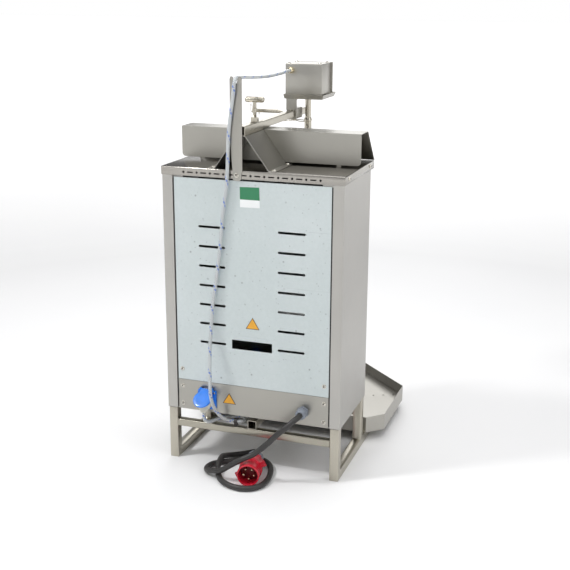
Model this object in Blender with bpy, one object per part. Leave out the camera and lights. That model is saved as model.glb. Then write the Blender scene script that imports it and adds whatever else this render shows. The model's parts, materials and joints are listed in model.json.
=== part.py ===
"""Electric vertical spit broiler (gyros grill), modelled as separate sub-parts.

Metres, +Z up. The front, where the spit turns, faces -Y and the wiring side faces +Y.
The origin is on the floor, in the middle of the machine's own width and depth.
Depths below are counted forward (towards -Y) from the casing's rear face.
"""
import math

import bmesh
import bpy
from mathutils import Matrix, Vector

# ---------------------------------------------------------------- driving dimensions
REAR_Y = 0.3416           # casing's rear face
GAP = 0.0003              # clearance between touching pieces
SHEET = 0.0012            # stainless sheet

CASE_HALF = 0.250         # half the casing's width
CASE_DEPTH = 0.260
CASE_Z = 0.152            # underside of the casing
CASE_TOP = 0.829
FASCIA_TOP = 0.2395       # top of the wiring compartment
COVER_Z = 0.8325          # top of the cover
COVER_SKIRT = 0.0228      # height of the cover's folded edge
COVER_FRONT = 0.286       # depth of the cover's front edge

LEG = 0.025               # square tube of legs and floor rails
LEG_WALL = 0.0015
LEG_OUT = 0.2475          # outer face of the legs
FRONT_LEG = 0.2345        # depth of the front legs' rear face
RAIL_LENGTH = 0.600
BAR = 0.020               # square tube of the cross bars
BAR_TOP = 0.1172

SLIDE = 0.025             # outer slide tube, upper and lower
SLIDE_CORE = 0.020        # inner slide tube
SLIDE_WALL = 0.0015
SLIDE_ROUND = 0.0022
ARM_X = 0.028             # upper arm's centre line
ARM_Z = 0.9331            # upper arm's axis height
LOW_Z = BAR_TOP + GAP + SLIDE / 2

SPIT_DEPTH = 0.477        # spit axis
SPIT_X = 0.0
TRAY_CENTRE = 0.462

HOOD_REAR = 0.139
HOOD_TOP = 0.9205
HOOD_HALF = 0.2535
HOOD_FOOT = 0.838

MOTOR_LEFT = 0.0465
MOTOR_RIGHT = -0.0635
MOTOR_REAR = 0.4045
MOTOR_FRONT = 0.4940
MOTOR_FLOOR = 0.9768      # underside of the motor's pan
MOTOR_TOP = 1.0765

SOCKET = (0.131, 0.189)   # panel socket's centre, x and z
GLAND = (-0.147, 0.1905)  # supply gland's centre, x and z
KNOBS = (0.140, 0.055, -0.030)
KNOB_Z = 0.196
SWITCH_X = -0.135

CLAMP_DEPTH = 0.105       # clamping screw on the upper arm
WING_DEPTH = 0.430        # wing bolt under the motor
MOTOR_GLAND = (0.0288, 1.0578)
LID_OPEN = 52             # socket lid's angle while the plug is in, degrees
PLUG_TAIL = (0.1325, 0.1580)
PLUG_Z = 0.0323           # axis height of the plug on the floor

SUPPLY_RADIUS = 0.00775
MOTOR_CABLE_RADIUS = 0.0048


def at(x, depth, z):
    """World point for a depth counted from the casing's rear face."""
    return Vector((x, REAR_Y - depth, z))


# ---------------------------------------------------------------- scene and materials
def clear_scene():
    for old in list(bpy.data.objects):
        bpy.data.objects.remove(old, do_unlink=True)


def material(name, colour, roughness, metallic=0.0):
    made = bpy.data.materials.new(name)
    made.use_nodes = True
    shader = made.node_tree.nodes["Principled BSDF"]
    shader.inputs["Base Color"].default_value = (*colour, 1.0)
    shader.inputs["Roughness"].default_value = roughness
    shader.inputs["Metallic"].default_value = metallic
    return made


# ---------------------------------------------------------------- mesh helpers
def finish(name, bm, mat, smooth=None):
    """Turns a bmesh into a named object; smooth is the sharp-edge angle in degrees."""
    bmesh.ops.recalc_face_normals(bm, faces=bm.faces)
    mesh = bpy.data.meshes.new(name)
    bm.to_mesh(mesh)
    bm.free()
    if smooth:
        mesh.shade_smooth()
        mesh.set_sharp_from_angle(angle=math.radians(smooth))
    made = bpy.data.objects.new(name, mesh)
    bpy.context.scene.collection.objects.link(made)
    made.data.materials.append(mat)
    return made


def place_origin(obj, point):
    """Moves an object's origin to a point without moving its surface."""
    obj.data.transform(Matrix.Translation(-Vector(point)))
    obj.location = point
    return obj


def add_box(bm, low, high):
    """Axis-aligned box between two world corners given in any order."""
    lo = [min(a, b) for a, b in zip(low, high)]
    hi = [max(a, b) for a, b in zip(low, high)]
    made = bmesh.ops.create_cube(bm, size=1.0)
    for vert in made["verts"]:
        vert.co = Vector([lo[i] + (vert.co[i] + 0.5) * (hi[i] - lo[i]) for i in range(3)])
    return made["verts"]


def world_point(axis, u, v, w):
    """A 2-D outline point (u, v) at position w along an extrusion axis.

    Along X the outline is (depth, z), along Y it is (x, z), along Z it is (x, depth).
    """
    if axis == "X":
        return at(w, u, v)
    if axis == "Y":
        return at(u, w, v)
    return at(u, v, w)


def add_prism(bm, outline, axis, start, end):
    """Closed prism of one outline, extruded between two positions on an axis."""
    rings = []
    for w in (start, end):
        rings.append([bm.verts.new(world_point(axis, u, v, w)) for u, v in outline])
    bm.faces.new(rings[0])
    bm.faces.new(rings[1])
    count = len(outline)
    for i in range(count):
        j = (i + 1) % count
        bm.faces.new((rings[0][i], rings[0][j], rings[1][j], rings[1][i]))


def add_tube(bm, outer, inner, axis, start, end):
    """Open-ended tube between two outlines of the same number of points."""
    rings = []
    for outline in (outer, inner):
        for w in (start, end):
            rings.append([bm.verts.new(world_point(axis, u, v, w)) for u, v in outline])
    out_a, out_b, in_a, in_b = rings
    count = len(outer)
    for i in range(count):
        j = (i + 1) % count
        bm.faces.new((out_a[i], out_a[j], out_b[j], out_b[i]))
        bm.faces.new((in_a[i], in_a[j], in_b[j], in_b[i]))
        bm.faces.new((out_a[i], out_a[j], in_a[j], in_a[i]))
        bm.faces.new((out_b[i], out_b[j], in_b[j], in_b[i]))


def add_turned(bm, profile, origin, axis, segments, closed=False):
    """Solid of revolution: profile points are (radius, distance along the axis).

    A closed profile makes a ring; an open one starts and ends on the axis.
    """
    direction = Vector(axis).normalized()
    side = direction.orthogonal().normalized()
    other = direction.cross(side)
    rings = []
    for radius, along in profile:
        centre = Vector(origin) + direction * along
        if radius < 1e-7:
            rings.append([bm.verts.new(centre)])
            continue
        ring = []
        for k in range(segments):
            angle = 2 * math.pi * k / segments
            offset = side * math.cos(angle) + other * math.sin(angle)
            ring.append(bm.verts.new(centre + offset * radius))
        rings.append(ring)
    pairs = list(zip(rings, rings[1:]))
    if closed:
        pairs.append((rings[-1], rings[0]))
    for low, high in pairs:
        for k in range(segments):
            n = (k + 1) % segments
            if len(low) == 1:
                bm.faces.new((low[0], high[k], high[n]))
            elif len(high) == 1:
                bm.faces.new((low[k], low[n], high[0]))
            else:
                bm.faces.new((low[k], low[n], high[n], high[k]))


def add_rod(bm, origin, axis, radius, length, segments=12):
    add_turned(bm, [(0, 0), (radius, 0), (radius, length), (0, length)], origin, axis, segments)


def rounded_rectangle(u, v, half_u, half_v, radius, steps=3):
    """Outline of a rectangle with round corners, centred on (u, v)."""
    points = []
    for corner, (su, sv) in enumerate(((1, 1), (-1, 1), (-1, -1), (1, -1))):
        centre = (u + su * (half_u - radius), v + sv * (half_v - radius))
        for k in range(steps + 1):
            angle = math.pi / 2 * (corner + k / steps)
            points.append((centre[0] + radius * math.cos(angle), centre[1] + radius * math.sin(angle)))
    return points


def circle(u, v, radius, segments, turn=0.0):
    """Outline of a regular polygon with its corners on a circle."""
    angles = [turn + 2 * math.pi * k / segments for k in range(segments)]
    return [(u + radius * math.cos(a), v + radius * math.sin(a)) for a in angles]


def folded_outline(path, thickness):
    """Outline of a bent sheet: the open centre line offset by half its thickness each way."""
    half = thickness / 2
    points = [Vector(p) for p in path]
    left, right = [], []
    for i, point in enumerate(points):
        before = (point - points[i - 1]).normalized() if i > 0 else None
        after = (points[i + 1] - point).normalized() if i < len(points) - 1 else None
        if before is None or after is None:
            tangent = after or before
            normal = Vector((-tangent.y, tangent.x)) * half
        else:
            tangent = (before + after).normalized()
            normal = Vector((-tangent.y, tangent.x))
            normal *= half / max(0.2, normal.dot(Vector((-before.y, before.x))))
        left.append(tuple(point + normal))
        right.append(tuple(point - normal))
    return left + right[::-1]


def square_tube(name, mat, axis, centre, size, wall, start, end):
    """Square hollow section with rounded edges, open at both ends."""
    half = size / 2
    outer = rounded_rectangle(*centre, half, half, SLIDE_ROUND)
    inner = rounded_rectangle(*centre, half - wall, half - wall, SLIDE_ROUND - wall + 0.0003)
    bm = bmesh.new()
    add_tube(bm, outer, inner, axis, start, end)
    return finish(name, bm, mat, smooth=40)


def cutter(name, bm):
    """A guide solid that only cuts others."""
    made = finish(name, bm, bpy.data.materials["steel"])
    made.hide_render = True
    made.display_type = "WIRE"
    return made


def boolean(target, tool, operation="DIFFERENCE"):
    step = target.modifiers.new(operation.lower(), "BOOLEAN")
    step.operation = operation
    step.solver = "EXACT"
    step.object = tool
    return target


def soften(obj, width, segments=2):
    """Rounds an object's sharp edges."""
    step = obj.modifiers.new("soften", "BEVEL")
    step.width = width
    step.segments = segments
    step.limit_method = "ANGLE"
    step.angle_limit = math.radians(40)
    return obj


def add_screw(bm, point, axis, radius=0.0042, height=0.0024):
    """Domed screw head standing on a point."""
    profile = [(0, -0.0004), (radius, -0.0004), (radius, 0.3 * height)]
    profile += [(0.72 * radius, 0.85 * height), (0, height)]
    add_turned(bm, profile, point, axis, 10)


def add_screws(target, name, places):
    """Joins screw heads to the piece they hold: places are (point, outward axis)."""
    bm = bmesh.new()
    for point, axis in places:
        add_screw(bm, point, axis)
    return boolean(target, cutter(name, bm), "UNION")


def smooth_route(route, spacing):
    """Points on the smooth curve through a route's own points, closer together in bends."""
    points = [Vector(p) for p in route]
    padded = [2 * points[0] - points[1]] + points + [2 * points[-1] - points[-2]]
    fine = []
    for i in range(1, len(padded) - 2):
        p0, p1, p2, p3 = padded[i - 1:i + 3]
        knots = [0.0]
        for a, b in ((p0, p1), (p1, p2), (p2, p3)):
            knots.append(knots[-1] + max(1e-6, (b - a).length) ** 0.5)
        t0, t1, t2, t3 = knots
        for k in range(24):
            t = t1 + (t2 - t1) * k / 24
            a1 = p0 * (t1 - t) / (t1 - t0) + p1 * (t - t0) / (t1 - t0)
            a2 = p1 * (t2 - t) / (t2 - t1) + p2 * (t - t1) / (t2 - t1)
            a3 = p2 * (t3 - t) / (t3 - t2) + p3 * (t - t2) / (t3 - t2)
            b1 = a1 * (t2 - t) / (t2 - t0) + a2 * (t - t0) / (t2 - t0)
            b2 = a2 * (t3 - t) / (t3 - t1) + a3 * (t - t1) / (t3 - t1)
            fine.append(b1 * (t2 - t) / (t2 - t1) + b2 * (t - t1) / (t2 - t1))
    fine.append(points[-1])
    turn_per_point = 0.45
    passed = [0.0]
    for i in range(len(fine) - 1):
        ahead = fine[i + 1] - fine[i]
        turn = ahead.angle(fine[i] - fine[i - 1], 0.0) if i else 0.0
        passed.append(passed[-1] + ahead.length / spacing + turn / turn_per_point)
    steps = math.ceil(passed[-1])
    even, k = [], 0
    for n in range(steps + 1):
        goal = passed[-1] * n / steps
        while k < len(fine) - 2 and passed[k + 1] < goal:
            k += 1
        share = (goal - passed[k]) / (passed[k + 1] - passed[k])
        even.append(fine[k].lerp(fine[k + 1], share))
    return even


def cable(name, mat, route, radius, spacing):
    """Round cable as a bevelled poly curve along a smooth route."""
    points = smooth_route(route, spacing)
    curve = bpy.data.curves.new(name, "CURVE")
    curve.dimensions = "3D"
    curve.bevel_depth = radius
    curve.bevel_resolution = 2
    curve.use_fill_caps = True
    spline = curve.splines.new("POLY")
    spline.points.add(len(points) - 1)
    for place, point in zip(spline.points, points):
        place.co = (*point, 1.0)
    made = bpy.data.objects.new(name, curve)
    bpy.context.scene.collection.objects.link(made)
    made.data.materials.append(mat)
    return made


# ---------------------------------------------------------------- sub-parts
def under_frame(steel):
    """Two welded side frames with floor rails, joined by two cross bars."""
    top = CASE_Z - GAP
    far = FRONT_LEG + LEG
    outline = [(0, 0), (RAIL_LENGTH, 0), (RAIL_LENGTH, LEG), (far, LEG), (far, top),
               (FRONT_LEG, top), (FRONT_LEG, LEG), (LEG, LEG), (LEG, top), (0, top)]
    w = LEG_WALL
    above = CASE_Z + 0.01
    hollow = [(w, w), (RAIL_LENGTH - w, w), (RAIL_LENGTH - w, LEG - w), (far - w, LEG - w),
              (far - w, above), (FRONT_LEG + w, above), (FRONT_LEG + w, LEG - w),
              (LEG - w, LEG - w), (LEG - w, above), (w, above)]
    for side, sign in (("left", 1), ("right", -1)):
        inner = LEG_OUT - LEG
        bm = bmesh.new()
        add_prism(bm, outline, "X", sign * inner, sign * LEG_OUT)
        frame = finish(side + "_side_frame", bm, steel)
        soften(frame, 0.0018)
        bm = bmesh.new()
        add_prism(bm, hollow, "X", sign * (inner + w), sign * (LEG_OUT - w))
        boolean(frame, cutter(side + "_frame_hollow", bm))
    span = LEG_OUT - LEG - GAP
    height = BAR_TOP - BAR / 2
    square_tube("rear_crossbar", steel, "X", (BAR / 2, height), BAR, LEG_WALL, -span, span)
    front = FRONT_LEG + LEG / 2
    square_tube("front_crossbar", steel, "X", (front, height), BAR, LEG_WALL, -span, span)


def side_panels(steel):
    """Side skins: folded round the rear post, with a lip behind the rear panels."""
    half = SHEET / 2
    lip = 0.0045
    for side, sign in (("left", 1), ("right", -1)):
        path = [(sign * 0.192, lip), (sign * 0.2215, lip), (sign * 0.2215, half),
                (sign * (CASE_HALF - half), half), (sign * (CASE_HALF - half), CASE_DEPTH - half),
                (sign * 0.230, CASE_DEPTH - half)]
        bm = bmesh.new()
        add_prism(bm, folded_outline(path, SHEET), "Z", CASE_Z, CASE_TOP)
        finish(side + "_side_panel", bm, steel)


def rear_panels(zinc, steel):
    """Louvred service panel above, wiring panel with socket and gland below."""
    half = 0.217
    rear = 0.0010
    top = 0.8051
    bm = bmesh.new()
    add_prism(bm, [(-half, FASCIA_TOP), (half, FASCIA_TOP), (half, top), (-half, top)], "Y",
              rear, rear + SHEET)
    panel = finish("rear_panel", bm, zinc)
    bm = bmesh.new()
    for row in range(7):
        height = 0.6770 - row * 0.0536
        for sign in (-1, 1):
            add_prism(bm, rounded_rectangle(sign * 0.1115, height, 0.0375, 0.0032, 0.0018, 1),
                      "Y", -0.005, 0.010)
    add_prism(bm, [(-0.058, 0.3454), (0.0566, 0.3454), (0.0566, 0.3712), (-0.058, 0.3712)],
              "Y", -0.005, 0.010)
    boolean(panel, cutter("louvre_slots", bm))
    behind = Vector((0, 1, 0))
    add_screws(panel, "rear_panel_screws", [(at(sign * 0.2044, rear, 0.270), behind) for sign in (-1, 1)])

    low_top = FASCIA_TOP - 0.0008
    bm = bmesh.new()
    add_prism(bm, [(-half, CASE_Z), (half, CASE_Z), (half, low_top), (-half, low_top)], "Y",
              rear, rear + SHEET)
    wiring = finish("lower_rear_panel", bm, steel)
    bm = bmesh.new()
    add_prism(bm, circle(*GLAND, 0.0129, 20), "Y", -0.005, 0.010)
    add_prism(bm, circle(*SOCKET, 0.0230, 20), "Y", -0.005, 0.010)
    boolean(wiring, cutter("wiring_holes", bm))
    places = [(at(sign * 0.2044, rear, z), behind) for sign in (-1, 1) for z in (0.2203, 0.1677)]
    add_screws(wiring, "wiring_panel_screws", places)


def bottom_plate(steel):
    """Floor of the wiring compartment."""
    bm = bmesh.new()
    add_box(bm, at(-0.2480, 0.0060, CASE_Z), at(0.2480, 0.2580, CASE_Z + SHEET))
    finish("bottom_plate", bm, steel)


def top_cover(steel):
    """Lid with a folded edge all round; its rear edge is punched for accessories."""
    half = CASE_HALF + 0.0022
    rear = -0.0022
    low = COVER_Z - COVER_SKIRT
    bm = bmesh.new()
    add_box(bm, at(-half, rear, low), at(half, COVER_FRONT, COVER_Z))
    cover = finish("top_cover", bm, steel)
    soften(cover, 0.0016)
    bm = bmesh.new()
    w = 0.0015
    add_box(bm, at(-half + w, rear + w, low - 0.01), at(half - w, COVER_FRONT - w, COVER_Z - w))
    boolean(cover, cutter("cover_hollow", bm))
    bm = bmesh.new()
    height = 0.8200
    for k in range(11):
        add_prism(bm, circle(0.1875 - k * 0.0375, height, 0.0034, 6), "Y", rear - 0.004, rear + 0.008)
    for k in range(10):
        middle = 0.16875 - k * 0.0375
        outline = [(middle + u, height + v) for u, v in ((-0.0080, -0.0017), (0.0080, -0.0017),
                                                         (0.0080, 0.0017), (-0.0080, 0.0017))]
        add_prism(bm, outline, "Y", rear - 0.004, rear + 0.008)
    boolean(cover, cutter("cover_punching", bm))
    places = [(at(sign * half, depth, 0.8222), Vector((sign, 0, 0))) for sign in (-1, 1)
              for depth in (0.035, 0.243)]
    add_screws(cover, "cover_screws", places)


def heat_hood(steel):
    """Bent hood that turns the hot air forward, standing on two spacers."""
    path = [(HOOD_REAR, HOOD_FOOT), (HOOD_REAR, HOOD_TOP), (0.2070, HOOD_TOP),
            (0.2800, 0.8360), (0.2845, 0.8336)]
    bm = bmesh.new()
    add_prism(bm, folded_outline(path, SHEET), "X", -HOOD_HALF, HOOD_HALF)
    hood = finish("heat_hood", bm, steel)
    bm = bmesh.new()
    radius = 0.010
    for sign in (-1, 1):
        corner = (sign * HOOD_HALF, HOOD_FOOT)
        centre = (corner[0] - sign * radius, corner[1] + radius)
        arc = []
        for k in range(5):
            angle = math.pi / 2 * k / 4
            arc.append((centre[0] + sign * radius * math.sin(angle),
                        centre[1] - radius * math.cos(angle)))
        outside = [(corner[0] + sign * 0.01, centre[1]), (corner[0] + sign * 0.01, corner[1] - 0.002),
                   (centre[0], corner[1] - 0.002)]
        add_prism(bm, arc + outside, "Y", HOOD_REAR - 0.004, HOOD_REAR + 0.004)
    boolean(hood, cutter("hood_corners", bm))
    bm = bmesh.new()
    for sign in (-1, 1):
        add_box(bm, at(sign * 0.188, HOOD_REAR - 0.0004, COVER_Z + GAP),
                at(sign * 0.200, HOOD_REAR + 0.0004, HOOD_FOOT + 0.002))
    boolean(hood, cutter("hood_feet", bm), "UNION")


def arm_saddle(steel):
    """Inverted V of sheet that carries the arm on the cover."""
    base = COVER_Z + GAP + 0.00075
    ridge = ARM_Z - SLIDE / 2 - GAP - 0.00075
    left, right = ARM_X + SLIDE / 2, ARM_X - SLIDE / 2
    path = [(0.1200, base), (0.1015, base), (left, ridge), (right, ridge),
            (-0.0480, base), (-0.0665, base)]
    bm = bmesh.new()
    add_prism(bm, folded_outline(path, 0.0015), "Y", 0.002, HOOD_REAR - 0.0015)
    saddle = finish("arm_saddle", bm, steel)
    top = base + 0.00075
    places = [(at(x, depth, top), Vector((0, 0, 1))) for x in (-0.0565, 0.1110) for depth in (0.020, 0.127)]
    add_screws(saddle, "saddle_screws", places)


def arm_tubes(steel):
    """Telescopic arm: the outer tube is fixed, the inner one carries the motor."""
    outer = square_tube("arm_outer_tube", steel, "Y", (ARM_X, ARM_Z), SLIDE, SLIDE_WALL, 0.0, 0.134)
    roof = ARM_Z + SLIDE / 2
    bm = bmesh.new()
    add_prism(bm, circle(ARM_X, CLAMP_DEPTH, 0.0108, 6, math.pi / 6), "Z", roof - 0.0008, roof + 0.0115)
    boolean(outer, cutter("clamp_nut", bm), "UNION")
    bm = bmesh.new()
    add_rod(bm, at(ARM_X, CLAMP_DEPTH, ARM_Z + 0.005), (0, 0, 1), 0.0056, 0.03, 16)
    boolean(outer, cutter("clamp_hole", bm))
    square_tube("arm_inner_tube", steel, "Y", (ARM_X, ARM_Z), SLIDE_CORE, SLIDE_WALL, 0.045, 0.505)


def arm_clamp(steel):
    """Clamping screw with its welded T bar and pointed peg."""
    bar_z = 1.0030
    bar_radius = 0.0076
    foot = ARM_Z + SLIDE_CORE / 2 + GAP
    origin = at(ARM_X, CLAMP_DEPTH, foot)
    length = bar_z - foot
    bm = bmesh.new()
    profile = [(0, 0), (0.0035, 0), (0.0049, 0.002), (0.0049, length), (0, length)]
    add_turned(bm, profile, origin, (0, 0, 1), 14)
    screw = finish("clamp_screw", bm, steel, smooth=50)

    half = 0.0275
    dome = [(0, 0), (0.45, 0.10), (0.80, 0.34), (1.0, 0.75)]
    profile = [(r * bar_radius, a * bar_radius) for r, a in dome]
    profile += [(r, 2 * half - a) for r, a in profile[::-1]]
    bm = bmesh.new()
    add_turned(bm, profile, at(ARM_X - half, CLAMP_DEPTH, bar_z), (1, 0, 0), 14)
    boolean(screw, cutter("clamp_tee_bar", bm), "UNION")
    profile = [(0, 0), (0.0047, 0), (0.0047, 0.064), (0.0012, 0.078), (0, 0.078)]
    bm = bmesh.new()
    add_turned(bm, profile, at(ARM_X - 0.001, CLAMP_DEPTH, 0.9750), (-1, 0, 0), 12)
    boolean(screw, cutter("clamp_peg", bm), "UNION")
    place_origin(screw, origin)


def motor_head(steel, brass, motor_grey):
    """Pan, cover and front plate round the gear motor, on a collar of the inner arm tube."""
    collar_half = 0.0150
    inner = SLIDE_CORE / 2 + GAP
    bm = bmesh.new()
    outer = rounded_rectangle(ARM_X, ARM_Z + 0.001, collar_half, 0.0150, 0.0015, 2)
    add_tube(bm, outer, rounded_rectangle(ARM_X, ARM_Z, inner, inner, SLIDE_ROUND, 2), "Y",
             0.4060, 0.4620)
    collar = finish("motor_collar", bm, steel)
    bm = bmesh.new()
    add_rod(bm, at(ARM_X, WING_DEPTH, ARM_Z - 0.020), (0, 0, 1), 0.0036, 0.010, 12)
    boolean(collar, cutter("wing_hole", bm))
    bm = bmesh.new()
    path = [(0.4066, 0.9444), (0.4066, MOTOR_FLOOR - GAP - 0.001), (0.4600, MOTOR_FLOOR - GAP - 0.001)]
    add_prism(bm, folded_outline(path, 0.002), "X", ARM_X - 0.0160, ARM_X + 0.0160)
    boolean(collar, cutter("motor_bracket", bm), "UNION")

    pan_top = MOTOR_FLOOR + 0.0130
    low = (-0.0655, 0.0485, 0.4025, 0.5205)
    high = (-0.0705, 0.0510, 0.3990, 0.5260)
    w = SHEET
    floor = MOTOR_FLOOR + w
    levels = [(low, 0.0, MOTOR_FLOOR), (high, 0.0, pan_top), (high, w, pan_top), (low, w, floor)]
    bm = bmesh.new()
    rings = []
    for (x0, x1, d0, d1), inset, z in levels:
        corners = ((x0 + inset, d0 + inset), (x1 - inset, d0 + inset),
                   (x1 - inset, d1 - inset), (x0 + inset, d1 - inset))
        rings.append([bm.verts.new(at(x, d, z)) for x, d in corners])
    bm.faces.new(rings[0])
    bm.faces.new(rings[3])
    for ring_a, ring_b in zip(rings, rings[1:]):
        for k in range(4):
            n = (k + 1) % 4
            bm.faces.new((ring_a[k], ring_a[n], ring_b[n], ring_b[k]))
    pan = finish("motor_pan", bm, steel)
    bm = bmesh.new()
    add_rod(bm, at(SPIT_X, SPIT_DEPTH, MOTOR_FLOOR - 0.005), (0, 0, 1), 0.0124, 0.010, 20)
    boolean(pan, cutter("shaft_hole", bm))

    base = floor + GAP
    bm = bmesh.new()
    add_box(bm, at(MOTOR_RIGHT, MOTOR_REAR, base), at(MOTOR_LEFT, MOTOR_FRONT, MOTOR_TOP))
    cover = finish("motor_cover", bm, steel)
    soften(cover, 0.0014)
    bm = bmesh.new()
    add_box(bm, at(MOTOR_RIGHT + w, MOTOR_REAR + w, base - 0.01),
            at(MOTOR_LEFT - w, MOTOR_FRONT - w, MOTOR_TOP - w))
    boolean(cover, cutter("motor_cover_hollow", bm))
    bm = bmesh.new()
    add_box(bm, at(MOTOR_RIGHT - 0.005, MOTOR_FRONT + GAP, pan_top + GAP),
            at(MOTOR_LEFT + 0.003, MOTOR_FRONT + GAP + SHEET, MOTOR_TOP + 0.001))
    finish("motor_front_plate", bm, steel)
    places = [(at(x, depth, MOTOR_TOP), Vector((0, 0, 1))) for x in (-0.0545, 0.0375)
              for depth in (0.4135, 0.4850)]
    add_screws(cover, "motor_cover_screws", places)

    bm = bmesh.new()
    add_prism(bm, circle(*MOTOR_GLAND, 0.0098, 6), "Y", MOTOR_REAR - 0.0075, MOTOR_REAR - GAP)
    gland = finish("motor_gland", bm, brass)
    bm = bmesh.new()
    add_turned(bm, [(0, 0), (0.0084, 0), (0.0084, 0.004), (0.0056, 0.0075), (0, 0.0075)],
               at(MOTOR_GLAND[0], MOTOR_REAR - 0.0070, MOTOR_GLAND[1]), (0, 1, 0), 16)
    boolean(gland, cutter("motor_gland_dome", bm), "UNION")

    bm = bmesh.new()
    add_box(bm, at(-0.0450, 0.4250, floor + 0.002), at(0.0300, 0.4900, 1.0250))
    motor = finish("gear_motor", bm, motor_grey)
    bm = bmesh.new()
    add_rod(bm, at(-0.0080, 0.4540, 1.0200), (0, 0, 1), 0.0240, 0.0450, 20)
    boolean(motor, cutter("motor_can", bm), "UNION")


def wing_bolt(steel):
    """Wing bolt that locks the motor collar from below."""
    top = ARM_Z - SLIDE_CORE / 2 - 2 * GAP
    head = top - 0.0065
    origin = at(ARM_X, WING_DEPTH, head)
    bm = bmesh.new()
    add_turned(bm, [(0, -0.0045), (0.0055, -0.0045), (0.0060, 0), (0.0032, 0), (0.0032, 0.0062), (0, 0.0062)],
               origin, (0, 0, 1), 12)
    bolt = finish("wing_bolt", bm, steel, smooth=50)
    bm = bmesh.new()
    for sign in (-1, 1):
        wing = [(sign * x, z) for x, z in ((0.003, -0.0042), (0.012, -0.0072), (0.026, -0.0078),
                                          (0.033, -0.0040), (0.030, -0.0012), (0.018, -0.0016),
                                          (0.003, -0.0008))]
        outline = [(ARM_X + x, head + z) for x, z in wing]
        add_prism(bm, outline, "Y", WING_DEPTH - 0.0016, WING_DEPTH + 0.0016)
    boolean(bolt, cutter("wings", bm), "UNION")
    place_origin(bolt, origin)


def spit(steel, polished):
    """Driven shaft, coupling sleeve with its cross pin, spit rod and meat disc."""
    axis = (0, 0, 1)
    origin = at(SPIT_X, SPIT_DEPTH, MOTOR_FLOOR)
    pin_z = 0.9100
    bm = bmesh.new()
    add_rod(bm, at(SPIT_X, SPIT_DEPTH, 0.9000), axis, 0.0090, MOTOR_FLOOR + SHEET + 0.0014 - 0.9000, 20)
    shaft = finish("drive_shaft", bm, polished, smooth=50)
    bm = bmesh.new()
    profile = [(0.0093, 0.8844), (0.0107, 0.8856), (0.0107, 0.9160), (0.0103, 0.9165), (0.0093, 0.9165)]
    add_turned(bm, profile, at(SPIT_X, SPIT_DEPTH, 0), axis, 20, closed=True)
    sleeve = finish("coupling_sleeve", bm, polished, smooth=50)
    bm = bmesh.new()
    add_rod(bm, at(SPIT_X - 0.02, SPIT_DEPTH, pin_z), (1, 0, 0), 0.0028, 0.04, 12)
    hole = cutter("cross_pin_hole", bm)
    boolean(shaft, hole)
    boolean(sleeve, hole)
    bm = bmesh.new()
    add_rod(bm, at(SPIT_X - 0.0125, SPIT_DEPTH, pin_z), (1, 0, 0), 0.0025, 0.025, 12)
    pin = finish("cross_pin", bm, steel, smooth=50)

    bm = bmesh.new()
    add_turned(bm, [(0, 0.8500), (0.0078, 0.8500), (0.0090, 0.8560), (0.0090, 0.8996), (0, 0.8996)],
               at(SPIT_X, SPIT_DEPTH, 0), axis, 20)
    rod = finish("spit_rod", bm, polished, smooth=50)
    bm = bmesh.new()
    half = 0.0060
    square = [(SPIT_X - half, SPIT_DEPTH - half), (SPIT_X + half, SPIT_DEPTH - half),
              (SPIT_X + half, SPIT_DEPTH + half), (SPIT_X - half, SPIT_DEPTH + half)]
    add_prism(bm, square, "Z", 0.1720, 0.8530)
    boolean(rod, cutter("spit_bar", bm), "UNION")
    bm = bmesh.new()
    add_turned(bm, [(0, 0.1490), (0.0035, 0.1490), (0.0050, 0.1520), (0.0050, 0.1740), (0, 0.1740)],
               at(SPIT_X, SPIT_DEPTH, 0), axis, 16)
    boolean(rod, cutter("spit_tail", bm), "UNION")

    bm = bmesh.new()
    profile = [(0, 0.1775), (0.0980, 0.1775), (0.1000, 0.1785), (0.1000, 0.1805), (0.0160, 0.1805),
               (0.0150, 0.2020), (0, 0.2020)]
    add_turned(bm, profile, at(SPIT_X, SPIT_DEPTH, 0), axis, 36)
    disc = finish("meat_disc", bm, polished, smooth=40)
    bm = bmesh.new()
    clear = half + GAP
    square = [(SPIT_X - clear, SPIT_DEPTH - clear), (SPIT_X + clear, SPIT_DEPTH - clear),
              (SPIT_X + clear, SPIT_DEPTH + clear), (SPIT_X - clear, SPIT_DEPTH + clear)]
    add_prism(bm, square, "Z", 0.1600, 0.2200)
    boolean(disc, cutter("disc_hole", bm))
    for piece in (shaft, sleeve, pin, rod, disc):
        place_origin(piece, origin)


def lower_slide(steel, polished):
    """Lower telescopic tube whose cup holds the foot of the spit."""
    square_tube("lower_outer_tube", steel, "Y", (SPIT_X, LOW_Z), SLIDE, SLIDE_WALL, 0.0, 0.300)
    square_tube("lower_inner_tube", steel, "Y", (SPIT_X, LOW_Z), SLIDE_CORE, SLIDE_WALL, 0.060, 0.497)
    low = LOW_Z + SLIDE_CORE / 2 + GAP
    profile = [(0, low), (0.0160, low), (0.0160, low + 0.003), (0.0120, low + 0.007), (0.0120, 0.1650),
               (0.0054, 0.1650), (0.0054, 0.1480), (0, 0.1480)]
    bm = bmesh.new()
    add_turned(bm, profile, at(SPIT_X, SPIT_DEPTH, 0), (0, 0, 1), 20)
    finish("lower_bearing", bm, polished, smooth=50)


def tray_outline(inset):
    """Plan of the drip tray: chamfered corners, wide chamfers in front."""
    cut = inset * math.tan(math.radians(22.5))
    rear, side, front = 0.285 + inset, 0.295 - inset, 0.740 - inset
    half = [(0.250 - cut, rear), (side, 0.330 + cut), (side, 0.570 - cut), (0.125 - cut, front)]
    return half + [(-x, depth) for x, depth in half[::-1]]


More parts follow.
